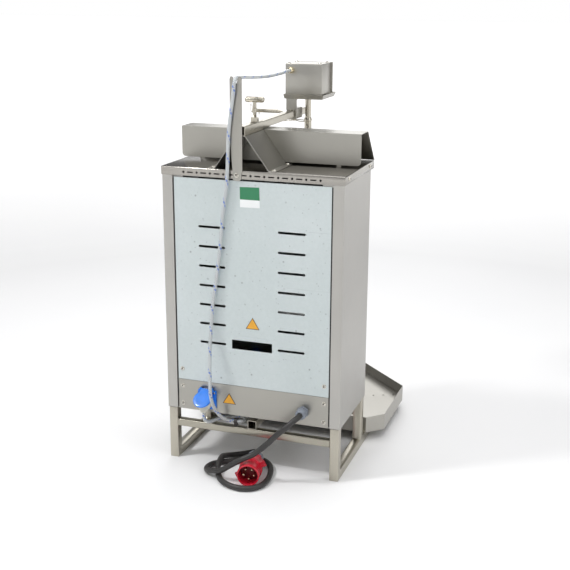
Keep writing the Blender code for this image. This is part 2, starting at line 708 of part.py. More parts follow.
def drip_tray(steel):
    """Grease pan on the floor rails, and the pierced plate that lies in it."""
    low, floor, top = LEG + GAP, LEG + GAP + SHEET, 0.0735
    bm = bmesh.new()
    levels = [(0.0, low), (0.0, top), (SHEET, top), (SHEET, floor)]
    rings = []
    for inset, z in levels:
        rings.append([bm.verts.new(at(x, depth, z)) for x, depth in tray_outline(inset)])
    bm.faces.new(rings[0])
    bm.faces.new(rings[3])
    for ring_a, ring_b in zip(rings, rings[1:]):
        for k in range(8):
            n = (k + 1) % 8
            bm.faces.new((ring_a[k], ring_a[n], ring_b[n], ring_b[k]))
    finish("drip_tray", bm, steel)

    edge = 0.0408
    dip = 0.0050
    inset = SHEET + 0.0008
    bm = bmesh.new()
    outline = tray_outline(inset)
    middle = at(0, TRAY_CENTRE, 0)
    reach = 0.293
    sheets = []
    for offset in (0.0, SHEET):
        ring = []
        for x, depth in outline:
            point = at(x, depth, 0)
            away = min(1.0, (point - middle).length / reach)
            point.z = edge - dip * (1 - away) + offset
            ring.append(bm.verts.new(point))
        centre = bm.verts.new(middle + Vector((0, 0, edge - dip + offset)))
        for k in range(8):
            bm.faces.new((ring[k], ring[(k + 1) % 8], centre))
        sheets.append(ring)
    for k in range(8):
        n = (k + 1) % 8
        bm.faces.new((sheets[0][k], sheets[0][n], sheets[1][n], sheets[1][k]))
    plate = finish("drip_plate", bm, steel)
    bm = bmesh.new()
    for sign in (-1, 1):
        for angle in (20.5, 65.0):
            turn = math.radians(angle)
            for radius in (0.2215, 0.2535, 0.2850 if angle < 45 else 0.1900):
                x = sign * radius * math.cos(turn)
                depth = TRAY_CENTRE + radius * math.sin(turn)
                add_rod(bm, at(x, depth, 0.020), (0, 0, 1), 0.0034, 0.040, 6)
    boolean(plate, cutter("drain_holes", bm))


def heater(polished, element, grid_steel):
    """Reflector box with three serpentine elements behind a barred guard."""
    half = 0.2280
    low, high = FASCIA_TOP + 0.0045, 0.8060
    back, front = 0.190, CASE_DEPTH - SHEET - GAP
    bm = bmesh.new()
    add_box(bm, at(-half, back, low), at(half, front, high))
    box = finish("heater_reflector", bm, polished)
    bm = bmesh.new()
    w = 0.001
    add_box(bm, at(-half + w, back + w, low + w), at(half - w, front + 0.01, high - w))
    boolean(box, cutter("reflector_hollow", bm))
    radius = 0.0041
    depth = 0.222
    bm = bmesh.new()
    for x in (-0.120, 0.0, 0.120):
        add_box(bm, at(x - 0.006, back + 0.5 * w, low + 0.012),
                at(x + 0.006, depth - radius - 0.0008, high - 0.012))
    boolean(box, cutter("element_racks", bm), "UNION")

    pitch = 0.042
    reach = 0.190
    for zone in range(3):
        foot = low + 0.030 + zone * 0.184
        route = []
        for run in range(4):
            z = foot + run * pitch
            sign = 1 if run % 2 == 0 else -1
            route += [(-sign * (reach - 0.021), z), (sign * (reach - 0.021), z)]
            if run < 3:
                for k in range(1, 6):
                    turn = math.pi * k / 6
                    route.append((sign * (reach - 0.021 + 0.021 * math.sin(turn)),
                                  z + 0.021 - 0.021 * math.cos(turn)))
        points = [at(x, depth, z) for x, z in route]
        first, last = points[0].copy(), points[-1].copy()
        first.y, last.y = [at(0, back + w + GAP, 0).y] * 2
        curve = bpy.data.curves.new("element", "CURVE")
        curve.dimensions = "3D"
        curve.bevel_depth = radius
        curve.bevel_resolution = 2
        curve.use_fill_caps = True
        spline = curve.splines.new("POLY")
        points = [first] + points + [last]
        spline.points.add(len(points) - 1)
        for place, point in zip(spline.points, points):
            place.co = (*point, 1.0)
        made = bpy.data.objects.new("heating_element_%d" % (zone + 1), curve)
        bpy.context.scene.collection.objects.link(made)
        made.data.materials.append(element)

    bm = bmesh.new()
    edge_x, edge_low, edge_high = 0.2240, low + 0.006, high - 0.004
    rear = CASE_DEPTH + 0.0030
    thick = 0.0030
    add_prism(bm, [(-edge_x, edge_low), (edge_x, edge_low), (edge_x, edge_high), (-edge_x, edge_high)],
              "Y", rear, rear + thick)
    grid = finish("guard_grid", bm, grid_steel)
    bm = bmesh.new()
    rows = 6
    wire = 0.0036
    step = (edge_high - edge_low - wire) / rows
    inner = edge_x - wire
    for row in range(rows):
        z0 = edge_low + wire + row * step
        z1 = z0 + step - wire
        add_prism(bm, [(-inner, z0), (inner, z0), (inner, z1), (-inner, z1)], "Y",
                  rear - 0.005, rear + thick + 0.005)
    boolean(grid, cutter("grid_windows", bm))
    bm = bmesh.new()
    for sign in (-1, 1):
        for z in (edge_low + 0.060, edge_high - 0.060):
            add_box(bm, at(sign * 0.2380, CASE_DEPTH + GAP, z - 0.006),
                    at(sign * 0.2225, rear + thick - 0.0005, z + 0.006))
    boolean(grid, cutter("grid_tabs", bm), "UNION")


def front_controls(steel, black, rocker, regulator):
    """Fascia with three heat regulators and their knobs, and the motor switch."""
    half = 0.2292
    low, high = CASE_Z + SHEET + GAP, FASCIA_TOP + 0.0020
    bm = bmesh.new()
    add_prism(bm, [(-half, low), (half, low), (half, high), (-half, high)], "Y",
              CASE_DEPTH - SHEET, CASE_DEPTH)
    fascia = finish("front_fascia", bm, steel)
    bm = bmesh.new()
    for x in KNOBS:
        add_prism(bm, circle(x, KNOB_Z, 0.0045, 12), "Y", CASE_DEPTH - 0.01, CASE_DEPTH + 0.01)
    add_prism(bm, rounded_rectangle(SWITCH_X, KNOB_Z, 0.0105, 0.0145, 0.001, 1), "Y",
              CASE_DEPTH - 0.01, CASE_DEPTH + 0.01)
    boolean(fascia, cutter("fascia_holes", bm))

    forward = Vector((0, -1, 0))
    for number, x in enumerate(KNOBS, 1):
        bm = bmesh.new()
        add_box(bm, at(x - 0.020, CASE_DEPTH - 0.040, KNOB_Z - 0.022),
                at(x + 0.020, CASE_DEPTH - 0.0055, KNOB_Z + 0.018))
        finish("heat_regulator_%d" % number, bm, regulator)
        origin = at(x, CASE_DEPTH + 0.0008, KNOB_Z)
        bm = bmesh.new()
        profile = [(0, -0.0055), (0.0030, -0.0055), (0.0030, 0), (0.0215, 0), (0.0215, 0.003), (0.0180, 0.005),
                   (0.0165, 0.017), (0.0150, 0.0185), (0, 0.0185)]
        add_turned(bm, profile, origin, forward, 24)
        knob = finish("heat_knob_%d" % number, bm, black, smooth=40)
        bm = bmesh.new()
        add_box(bm, origin + Vector((-0.0045, -0.0250, -0.0170)), origin + Vector((0.0045, -0.0040, 0.0170)))
        boolean(knob, cutter("knob_grip_%d" % number, bm), "UNION")
        place_origin(knob, origin)

    bm = bmesh.new()
    outer = rounded_rectangle(SWITCH_X, KNOB_Z, 0.0145, 0.0185, 0.002, 2)
    inner = rounded_rectangle(SWITCH_X, KNOB_Z, 0.0095, 0.0135, 0.001, 2)
    add_tube(bm, outer, inner, "Y", CASE_DEPTH + GAP, CASE_DEPTH + 0.0030)
    finish("switch_bezel", bm, black)
    pivot = at(SWITCH_X, CASE_DEPTH - 0.0040, KNOB_Z)
    bm = bmesh.new()
    outline = [(-0.0020, -0.0090), (0.0085, -0.0108), (0.0062, 0.0), (0.0050, 0.0108), (-0.0020, 0.0090)]
    shape = [(CASE_DEPTH - 0.0040 + u, KNOB_Z + v) for u, v in outline]
    add_prism(bm, shape, "X", SWITCH_X - 0.0088, SWITCH_X + 0.0088)
    place_origin(finish("motor_switch", bm, rocker), pivot)


def panel_socket(blue):
    """Hinged-lid panel socket: flange with collar, and the sprung lid held open."""
    x, z = SOCKET
    face = 0.0010
    bm = bmesh.new()
    add_prism(bm, rounded_rectangle(x, z, 0.0275, 0.0275, 0.004, 3), "Y", face - GAP - 0.0040, face - GAP)
    flange = finish("socket_flange", bm, blue)
    bm = bmesh.new()
    add_rod(bm, at(x, 0.0400, z), (0, 1, 0), 0.0222, 0.0530, 24)
    boolean(flange, cutter("socket_barrel", bm), "UNION")
    bm = bmesh.new()
    add_rod(bm, at(x, 0.0100, z), (0, 1, 0), 0.0195, 0.0300, 24)
    boolean(flange, cutter("socket_bore", bm))
    bm = bmesh.new()
    for sign in (-1, 1):
        add_box(bm, at(x + sign * 0.0150, face - GAP - 0.0035, z + 0.0262),
                at(x + sign * 0.0190, face - 0.0140, z + 0.0345))
    boolean(flange, cutter("hinge_lugs", bm), "UNION")

    pivot = at(x, -0.0100, z + 0.0305)
    tilt = math.radians(LID_OPEN)
    bm = bmesh.new()
    thick = 0.0045
    add_turned(bm, [(0, 0), (0.0258, 0), (0.0258, 0.003), (0.0235, thick), (0, thick)],
               Vector((0, 0, -0.0315)), (0, 1, 0), 28)
    lid = finish("socket_lid", bm, blue, smooth=50)
    bm = bmesh.new()
    add_box(bm, (-0.0140, 0.0004, -0.0200), (0.0140, 0.0032, 0.0004))
    arm = cutter("lid_arm", bm)
    bm = bmesh.new()
    add_rod(bm, (-0.0145, 0.0015, 0), (1, 0, 0), 0.0030, 0.0290, 12)
    knuckle = cutter("lid_knuckle", bm)
    boolean(lid, arm, "UNION")
    boolean(lid, knuckle, "UNION")
    for piece in (lid, arm, knuckle):
        piece.matrix_world = Matrix.Translation(pivot) @ Matrix.Rotation(tilt, 4, "X")


def angled_plug(ivory):
    """Angled plug in the panel socket, its tail pointing down."""
    x, z = SOCKET
    bm = bmesh.new()
    profile = [(0, 0), (0.0180, 0), (0.0184, 0.004), (0.0184, 0.020), (0.0176, 0.028), (0.0120, 0.033),
               (0, 0.033)]
    add_turned(bm, profile, at(x, 0.0040, z), (0, 1, 0), 24)
    body = finish("angled_plug", bm, ivory, smooth=50)
    centre = z - 0.0065
    arc = [math.radians(a) for a in range(-20, 201, 20)]
    outline = [(x + 0.0192 * math.cos(a), centre + 0.0192 * math.sin(a)) for a in arc]
    outline += [(PLUG_TAIL[0] - 0.0064, PLUG_TAIL[1]), (PLUG_TAIL[0] + 0.0064, PLUG_TAIL[1])]
    bm = bmesh.new()
    add_prism(bm, outline, "Y", -0.0300, -0.0138)
    boolean(body, cutter("plug_tail", bm), "UNION")


def supply_gland(grey):
    """Cable gland of the supply lead: clamped hexagon, dome nut and inner lock nut."""
    x, z = GLAND
    face = 0.0010
    bm = bmesh.new()
    add_prism(bm, circle(x, z, 0.0168, 6, math.pi / 6), "Y", face - GAP - 0.0075, face - GAP)
    gland = finish("supply_gland", bm, grey)
    bm = bmesh.new()
    profile = [(0, 0), (0.0125, 0), (0.0125, 0.0160), (0.0150, 0.0175), (0.0148, 0.0320), (0.0110, 0.0400),
               (0, 0.0400)]
    add_turned(bm, profile, at(x, 0.0100, z), (0, 1, 0), 24)
    boolean(gland, cutter("gland_dome", bm), "UNION")


def five_pin_plug(red, grey, brass):
    """Five-pin industrial plug lying on the floor at the end of the supply lead."""
    axis = Vector((-0.1700, 0.9854, 0.0)).normalized()
    face = Vector((-0.0284, REAR_Y + 0.1079, PLUG_Z))
    root = face - axis * 0.1000
    bm = bmesh.new()
    profile = [(0.0, 0.0), (0.0200, 0.0), (0.0236, 0.004), (0.0268, 0.034), (0.0318, 0.0500), (0.0318, 0.0600),
               (0.0291, 0.0612), (0.0291, 0.0985), (0.0303, 0.1000), (0.0266, 0.1000), (0.0266, 0.0620),
               (0.0, 0.0620)]
    add_turned(bm, profile, root, axis, 28)
    shell = finish("plug_shell", bm, red, smooth=40)
    side = axis.cross(Vector((0, 0, 1))).normalized()
    up = Vector((0, 0, 1))
    roll = math.radians(-28)
    across = side * math.cos(roll) + up * math.sin(roll)
    along_lug = up * math.cos(roll) - side * math.sin(roll)
    bm = bmesh.new()
    for sign in (-1, 1):
        low = root + axis * 0.0480 + across * sign * 0.0280
        verts = []
        for along, reach, tall in ((0.0, 0.0080, 0.006), (0.0165, 0.0170, 0.008)):
            for r in (0.0, reach):
                for h in (-tall, tall):
                    verts.append(bm.verts.new(low + axis * along + across * sign * r + along_lug * h))
        for ids in ((0, 1, 3, 2), (4, 5, 7, 6), (0, 1, 5, 4), (2, 3, 7, 6), (0, 2, 6, 4), (1, 3, 7, 5)):
            bm.faces.new([verts[i] for i in ids])
    boolean(shell, cutter("plug_lugs", bm), "UNION")

    bm = bmesh.new()
    add_turned(bm, [(0, 0), (0.0115, 0), (0.0190, 0.0060), (0.0232, 0.0130), (0.0232, 0.0250), (0, 0.0250)],
               root - axis * (0.0250 + GAP), axis, 24)
    finish("plug_gland", bm, grey, smooth=40)

    bm = bmesh.new()
    add_rod(bm, root + axis * (0.0620 + GAP), axis, 0.0263, 0.0050, 24)
    insert = finish("plug_pin_insert", bm, brass)
    bm = bmesh.new()
    for k in range(5):
        turn = math.radians(72 * k - 18)
        radius = 0.0038 if k == 0 else 0.0029
        centre = root + axis * 0.0650 + (side * math.cos(turn) + up * math.sin(turn)) * 0.0148
        profile = [(0, 0), (radius, 0), (radius, 0.0230), (0.6 * radius, 0.0245), (0, 0.0245)]
        add_turned(bm, profile, centre, axis, 10)
    boolean(insert, cutter("plug_pins", bm), "UNION")


def cable_holder(steel, rubber):
    """Upright fork on the cover's rear edge, and the clip on the rear cross bar."""
    rear = -0.0022 - GAP
    outline = [(0.0260, 0.8085), (0.0300, 0.8055), (0.0440, 0.8055), (0.0480, 0.8085), (0.0490, 0.8350),
               (0.0545, 0.9100), (0.0545, 1.0640), (0.0520, 1.0700), (0.0470, 1.0700), (0.0445, 1.0660),
               (0.0415, 1.0530), (0.0350, 1.0530), (0.0320, 1.0660), (0.0295, 1.0700), (0.0245, 1.0700),
               (0.0215, 1.0640), (0.0215, 0.8350)]
    bm = bmesh.new()
    add_prism(bm, outline, "Y", rear - 0.0018, rear)
    holder = finish("cable_holder", bm, steel)
    add_screws(holder, "holder_screw", [(at(0.0375, rear - 0.0018, 0.8200), Vector((0, 1, 0)))])

    x, z = 0.0500, 0.1312
    bm = bmesh.new()
    outer, inner = circle(0.0100, z, 0.0080, 16), circle(0.0100, z, 0.0055, 16)
    add_tube(bm, outer, inner, "X", x - 0.0050, x + 0.0050)
    clip = finish("cable_clip", bm, rubber)
    bm = bmesh.new()
    add_box(bm, at(x - 0.0048, 0.0060, BAR_TOP + GAP), at(x + 0.0048, 0.0140, z - 0.0065))
    boolean(clip, cutter("clip_foot", bm), "UNION")


def cables(silver, rubber):
    """Motor lead from the motor to its plug, and the supply lead with its loop on the floor."""
    join = 0.0120
    span = [(0.0288, MOTOR_REAR - 0.0153, 1.0578), (0.0289, 0.370, 1.0574), (0.0310, 0.320, 1.0548),
            (0.0338, 0.220, 1.0540), (0.0355, 0.120, 1.0590), (0.0372, 0.050, 1.0640),
            (0.0380, 0.024, 1.0658), (0.0380, join, 1.0662)]
    cable("motor_cable_span", silver, [at(*p) for p in span], MOTOR_CABLE_RADIUS, 0.024)
    back = -0.0102
    drop = [(0.0380, join - 2 * GAP, 1.0662), (0.0380, 0.004, 1.0662), (0.0386, -0.0050, 1.0625),
            (0.0396, back, 1.0530), (0.0415, back, 1.0320), (0.0455, back, 1.0050),
            (0.0520, back, 0.9620), (0.0570, back, 0.9120), (0.0590, back, 0.8600),
            (0.0610, back, 0.8200), (0.0650, back, 0.7800), (0.0735, back, 0.7250),
            (0.0830, back, 0.6300), (0.0960, back, 0.5350), (0.1060, -0.0120, 0.4680),
            (0.1100, -0.0140, 0.4100), (0.1110, -0.0200, 0.3700), (0.1085, -0.0310, 0.3300),
            (0.1030, -0.0460, 0.2950), (0.0985, -0.0560, 0.2650), (0.0970, -0.0580, 0.2300),
            (0.0950, -0.0500, 0.2000), (0.0900, -0.0370, 0.1740), (0.0820, -0.0210, 0.1520),
            (0.0730, -0.0050, 0.1370), (0.0640, 0.0070, 0.1318), (0.0560, 0.0100, 0.1312),
            (0.0440, 0.0100, 0.1312), (0.0350, 0.0140, 0.1310), (0.0300, 0.0250, 0.1304),
            (0.0330, 0.0390, 0.1298), (0.0460, 0.0480, 0.1292), (0.0660, 0.0470, 0.1290),
            (0.0860, 0.0360, 0.1292), (0.1010, 0.0180, 0.1300), (0.1120, -0.0020, 0.1290),
            (0.1210, -0.0160, 0.1290), (0.1286, -0.0228, 0.1350), (0.1322, -0.0232, 0.1450),
            (0.1325, -0.0220, 0.1572)]
    cable("motor_cable", silver, [at(*p) for p in drop], MOTOR_CABLE_RADIUS, 0.024)
    x, z = GLAND
    floor = SUPPLY_RADIUS + 0.0004
    over = floor + 2 * SUPPLY_RADIUS + 0.0015
    lead = [(x, -0.0310, z), (-0.1468, -0.0400, 0.1901), (-0.1400, -0.0560, 0.1860),
            (-0.1220, -0.0680, 0.1690), (-0.0960, -0.0740, 0.1440), (-0.0660, -0.0780, 0.1120),
            (-0.0360, -0.0850, 0.0860), (-0.0040, -0.0940, 0.0690), (0.0290, -0.0960, 0.0470),
            (0.0560, -0.0940, over + 0.003), (0.0800, -0.0880, over - 0.004), (0.1020, -0.0740, floor + 0.004),
            (0.1140, -0.0500, floor), (0.1080, -0.0240, floor), (0.0870, -0.0040, floor),
            (0.0600, 0.0160, floor), (0.0340, 0.0340, floor), (0.0060, 0.0460, floor),
            (-0.0240, 0.0400, floor), (-0.0480, 0.0140, floor), (-0.0640, -0.0290, floor),
            (-0.0690, -0.0740, floor), (-0.0630, -0.1060, floor), (-0.0430, -0.1290, floor),
            (-0.0140, -0.1360, floor), (0.0160, -0.1300, floor), (0.0440, -0.1130, floor),
            (0.0640, -0.0860, floor), (0.0775, -0.0600, floor + 0.005), (0.0840, -0.0320, over - 0.0015),
            (0.0865, -0.0060, over + 0.0003), (0.0850, 0.0180, floor + 0.010), (0.0775, 0.0400, floor + 0.003),
            (0.0650, 0.0550, floor), (0.0500, 0.0632, floor + 0.001), (0.0350, 0.0650, floor + 0.005),
            (0.0190, 0.0615, floor + 0.012),
            (0.0065, 0.0525, over), (-0.0020, 0.0398, over + 0.0055), (-0.0056, 0.0260, PLUG_Z - 0.0005),
            (-0.0070, 0.0162, PLUG_Z)]
    cable("supply_cable", rubber, [at(*p) for p in lead], SUPPLY_RADIUS, 0.040)


# ---------------------------------------------------------------- assembly
def build():
    clear_scene()
    steel = material("steel", (0.50, 0.48, 0.44), 0.34, 0.95)
    polished = material("polished_steel", (0.62, 0.60, 0.56), 0.20, 1.0)
    zinc = material("galvanised_sheet", (0.58, 0.63, 0.64), 0.42, 0.75)
    screw_steel = material("screw_steel", (0.66, 0.64, 0.60), 0.30, 1.0)
    black = material("black_plastic", (0.03, 0.03, 0.035), 0.42)
    rubber = material("black_rubber", (0.045, 0.045, 0.05), 0.55)
    silver = material("braided_sleeve", (0.62, 0.65, 0.68), 0.40, 0.2)
    brass = material("nickel_brass", (0.66, 0.58, 0.42), 0.28, 1.0)
    grey = material("grey_plastic", (0.38, 0.42, 0.48), 0.48)
    blue = material("blue_plastic", (0.02, 0.22, 0.80), 0.38)
    red = material("red_plastic", (0.62, 0.01, 0.03), 0.32)
    ivory = material("ivory_plastic", (0.80, 0.78, 0.70), 0.42)
    element = material("heating_element", (0.16, 0.13, 0.11), 0.55, 0.7)
    rocker = material("green_rocker", (0.03, 0.35, 0.10), 0.30)
    motor_grey = material("cast_motor", (0.30, 0.31, 0.32), 0.50, 0.4)

    under_frame(steel)
    side_panels(steel)
    rear_panels(zinc, steel)
    bottom_plate(steel)
    top_cover(steel)
    heat_hood(steel)
    arm_saddle(steel)
    arm_tubes(steel)
    arm_clamp(screw_steel)
    motor_head(steel, brass, motor_grey)
    wing_bolt(screw_steel)
    spit(screw_steel, polished)
    lower_slide(steel, polished)
    drip_tray(steel)
    heater(polished, element, screw_steel)
    front_controls(steel, black, rocker, grey)
    panel_socket(blue)
    angled_plug(ivory)
    supply_gland(grey)
    five_pin_plug(red, grey, brass)
    cable_holder(steel, rubber)
    cables(silver, rubber)


build()
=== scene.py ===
"""Looks of the vertical spit broiler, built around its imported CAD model."""
import json
import math

import bmesh
import bpy
from mathutils import Matrix, Vector


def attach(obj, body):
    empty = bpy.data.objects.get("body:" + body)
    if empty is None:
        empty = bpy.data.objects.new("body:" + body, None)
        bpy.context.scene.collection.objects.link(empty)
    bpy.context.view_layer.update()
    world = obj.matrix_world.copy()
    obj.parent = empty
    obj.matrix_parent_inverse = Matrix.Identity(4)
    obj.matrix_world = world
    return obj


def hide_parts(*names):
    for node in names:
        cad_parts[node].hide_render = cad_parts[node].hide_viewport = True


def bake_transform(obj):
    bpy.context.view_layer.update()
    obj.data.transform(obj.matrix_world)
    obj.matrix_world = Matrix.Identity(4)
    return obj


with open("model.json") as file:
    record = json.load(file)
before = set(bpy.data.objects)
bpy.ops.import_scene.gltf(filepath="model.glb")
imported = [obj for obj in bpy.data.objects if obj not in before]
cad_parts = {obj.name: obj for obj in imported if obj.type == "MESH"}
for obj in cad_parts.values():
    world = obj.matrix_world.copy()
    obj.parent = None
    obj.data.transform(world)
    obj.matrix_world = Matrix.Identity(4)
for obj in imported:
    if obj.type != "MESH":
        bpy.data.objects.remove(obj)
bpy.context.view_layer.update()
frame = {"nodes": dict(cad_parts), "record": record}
BODY_OF = {n: b for b, members in frame["record"]["behaviour"]["bodies"].items() for n in members}

# ---------------------------------------------------------------- shared dimensions, metres
REAR_Y = 0.3416             # casing's rear face
CLAMP = (0.028, 0.105)      # x and depth
SPIT = (0.0, 0.477)         # x and depth
SOCKET = (0.131, 0.189)     # x and z
GLAND = (-0.147, 0.1905)    # x and z
KNOBS = (0.140, 0.055, -0.030)
KNOB_Z = 0.196
CASE_DEPTH = 0.260
COVER_Z = 0.8325
ARM_Z = 0.9331
PLUG_Z = 0.0323
PLUG_TAIL = (0.1325, 0.1580)    # x and z
MOTOR_LEAD_RADIUS = 0.0048
SUPPLY_LEAD_RADIUS = 0.00775
PANEL_FACE = 0.0007         # depth at which labels and fittings sit on the rear panels
REAR, FORWARD, UP, LEFT = Vector((0, 1, 0)), Vector((0, -1, 0)), Vector((0, 0, 1)), Vector((1, 0, 0))


def at(x, depth, z):
    """World point for a depth counted forward from the casing's rear face."""
    return Vector((x, REAR_Y - depth, z))


# ---------------------------------------------------------------- camera
def make_camera():
    """Camera behind the machine, to its right and a little above it."""
    azimuth, elevation, roll = (math.radians(a) for a in (198.92, 15.955, 0.272))
    back = Vector((math.sin(azimuth) * math.cos(elevation),
                   -math.cos(azimuth) * math.cos(elevation), math.sin(elevation)))
    right = UP.cross(back).normalized()
    up = back.cross(right)
    side = right * math.cos(roll) + up * math.sin(roll)
    top = up * math.cos(roll) - right * math.sin(roll)
    turn = Matrix((side, top, back)).transposed().to_4x4()
    data = bpy.data.cameras.new("camera")
    data.sensor_width = 36.0
    data.lens = 65.434
    data.clip_start, data.clip_end = 0.05, 200.0
    camera = bpy.data.objects.new("camera", data)
    bpy.context.scene.collection.objects.link(camera)
    camera.matrix_world = Matrix.Translation((-0.9358, 2.4556 + REAR_Y, 1.2812)) @ turn
    bpy.context.scene.camera = camera


# ---------------------------------------------------------------- materials
class Shade:
    """Small helper that builds one procedural node material."""

    def __init__(self, name, colour, roughness, metallic=0.0, **sockets):
        self.made = bpy.data.materials.new(name)
        self.made.use_nodes = True
        self.tree = self.made.node_tree
        self.shader = self.tree.nodes["Principled BSDF"]
        self.shader.inputs["Base Color"].default_value = (*colour, 1.0)
        self.shader.inputs["Roughness"].default_value = roughness
        self.shader.inputs["Metallic"].default_value = metallic
        for key, value in sockets.items():
            self.shader.inputs[key.replace("_", " ")].default_value = value
        self.place = self.tree.nodes.new("ShaderNodeTexCoord").outputs["Object"]
        self.height = None

    def node(self, kind, links=(), **values):
        made = self.tree.nodes.new(kind)
        for key, value in values.items():
            if hasattr(made, key):
                setattr(made, key, value)
            else:
                made.inputs[key.replace("_", " ")].default_value = value
        for key, source in dict(links).items():
            self.tree.links.new(source, made.inputs[key])
        return made

    def scaled(self, scale):
        node = self.node("ShaderNodeMapping", {"Vector": self.place})
        node.inputs["Scale"].default_value = scale
        return node.outputs["Vector"]

    def noise(self, scale, detail=3.0, stretch=None):
        vector = self.scaled(stretch) if stretch else self.place
        return self.node("ShaderNodeTexNoise", {"Vector": vector}, Scale=scale, Detail=detail).outputs["Fac"]

    def ramp(self, source, stops):
        node = self.node("ShaderNodeValToRGB", {"Fac": source})
        marks = node.color_ramp.elements
        while len(marks) < len(stops):
            marks.new(0.5)
        for mark, (position, colour) in zip(marks, stops):
            mark.position = position
            mark.color = (*colour, 1.0) if len(colour) == 3 else colour
        return node.outputs["Color"]

    def math(self, operation, a, b):
        node = self.node("ShaderNodeMath", operation=operation)
        for slot, value in enumerate((a, b)):
            if isinstance(value, (int, float)):
                node.inputs[slot].default_value = value
            else:
                self.tree.links.new(value, node.inputs[slot])
        return node.outputs[0]

    def spread(self, source, low, high, from_low=0.3, from_high=0.7):
        node = self.node("ShaderNodeMapRange", {"Value": source})
        ends = {"From Min": from_low, "From Max": from_high, "To Min": low, "To Max": high}
        for key, value in ends.items():
            node.inputs[key].default_value = value
        return node.outputs["Result"]

    def mix(self, factor, first, second):
        node = self.tree.nodes.new("ShaderNodeMix")
        node.data_type = "RGBA"
        self.tree.links.new(factor, node.inputs[0])
        for slot, value in ((6, first), (7, second)):
            if isinstance(value, tuple):
                node.inputs[slot].default_value = (*value, 1.0)
            else:
                self.tree.links.new(value, node.inputs[slot])
        return node.outputs[2]

    def feed(self, socket, source):
        self.tree.links.new(source, self.shader.inputs[socket])
        return self

    def bump(self, source, strength, distance=0.0002):
        node = self.node("ShaderNodeBump", {"Height": source}, Strength=strength, Distance=distance)
        if self.height is not None:
            self.tree.links.new(self.height, node.inputs["Normal"])
        self.height = node.outputs["Normal"]
        self.tree.links.new(self.height, self.shader.inputs["Normal"])
        return self


def steel(name, colour, roughness, grain, strength=0.05):
    """Stainless steel: cloudy tone, and a fine grain stretched along one axis."""
    shade = Shade(name, colour, roughness, 1.0)
    cloud = shade.noise(7.0, 2.0)
    dark = tuple(0.93 * c for c in colour)
    shade.feed("Base Color", shade.ramp(cloud, [(0.3, dark), (0.7, colour)]))
    lines = shade.noise(1.0, 4.0, grain)
    soft = shade.math("ADD", shade.math("MULTIPLY", lines, 0.75), shade.math("MULTIPLY", cloud, 0.25))
    shade.feed("Roughness", shade.spread(soft, roughness - 0.05, roughness + 0.06))
    shade.bump(lines, strength, 0.00015)
    return shade.made


def plastic(name, colour, roughness, strength=0.05, **sockets):
    """Moulded plastic or rubber with a faint grain and slightly uneven tone."""
    shade = Shade(name, colour, roughness, 0.0, **sockets)
    tone = shade.noise(60.0, 3.0)
    dark = tuple(0.86 * c for c in colour)
    shade.feed("Base Color", shade.ramp(tone, [(0.3, dark), (0.7, colour)]))
    fine = shade.noise(900.0, 2.0)
    shade.feed("Roughness", shade.spread(fine, roughness - 0.04, roughness + 0.05))
    shade.bump(fine, strength, 0.0001)
    return shade.made


def galvanised():
    """Zinc-coated sheet: faint mottling, scattered dark specks and a few fine scratches."""
    shade = Shade("galvanised", (0.62, 0.68, 0.69), 0.42, 0.45)
    cloud = shade.noise(3.0, 6.0)
    fine = shade.noise(160.0, 3.0)
    tone = shade.math("ADD", shade.math("MULTIPLY", cloud, 0.72), shade.math("MULTIPLY", fine, 0.28))
    colour = shade.ramp(tone, [(0.3, (0.510, 0.570, 0.570)), (0.7, (0.615, 0.670, 0.675))])
    for scale, low, high, depth in ((46.0, 0.070, 0.160, 0.72), (95.0, 0.10, 0.20, 0.50)):
        spot = shade.node("ShaderNodeTexVoronoi", {"Vector": shade.place}, Scale=scale).outputs["Distance"]
        rare = shade.noise(0.55 * scale, 1.0)
        speck = shade.math("MULTIPLY", shade.spread(spot, 1.0, 0.0, low, high),
                           shade.spread(rare, 0.0, 1.0, 0.53, 0.60))
        colour = shade.mix(shade.math("MULTIPLY", speck, depth), colour, (0.25, 0.28, 0.28))
    for turn, stretch, low in ((0.62, 95.0, 0.735), (-1.15, 150.0, 0.75)):
        turned = shade.node("ShaderNodeMapping", {"Vector": shade.place})
        turned.inputs["Rotation"].default_value = (0.0, turn, 0.0)
        turned.inputs["Scale"].default_value = (2.2, 1.0, stretch)
        streak = shade.node("ShaderNodeTexNoise", {"Vector": turned.outputs["Vector"]}, Scale=1.0, Detail=1.0)
        patch = shade.noise(4.1 + turn, 1.0)
        scratch = shade.math("MULTIPLY", shade.spread(streak.outputs["Fac"], 0.0, 1.0, low, low + 0.03),
                             shade.spread(patch, 0.0, 1.0, 0.50, 0.58))
        colour = shade.mix(shade.math("MULTIPLY", scratch, 0.35), colour, (0.36, 0.40, 0.41))
    shade.feed("Base Color", colour)
    shade.feed("Roughness", shade.spread(tone, 0.36, 0.48))
    shade.bump(tone, 0.08, 0.0002)
    return shade.made


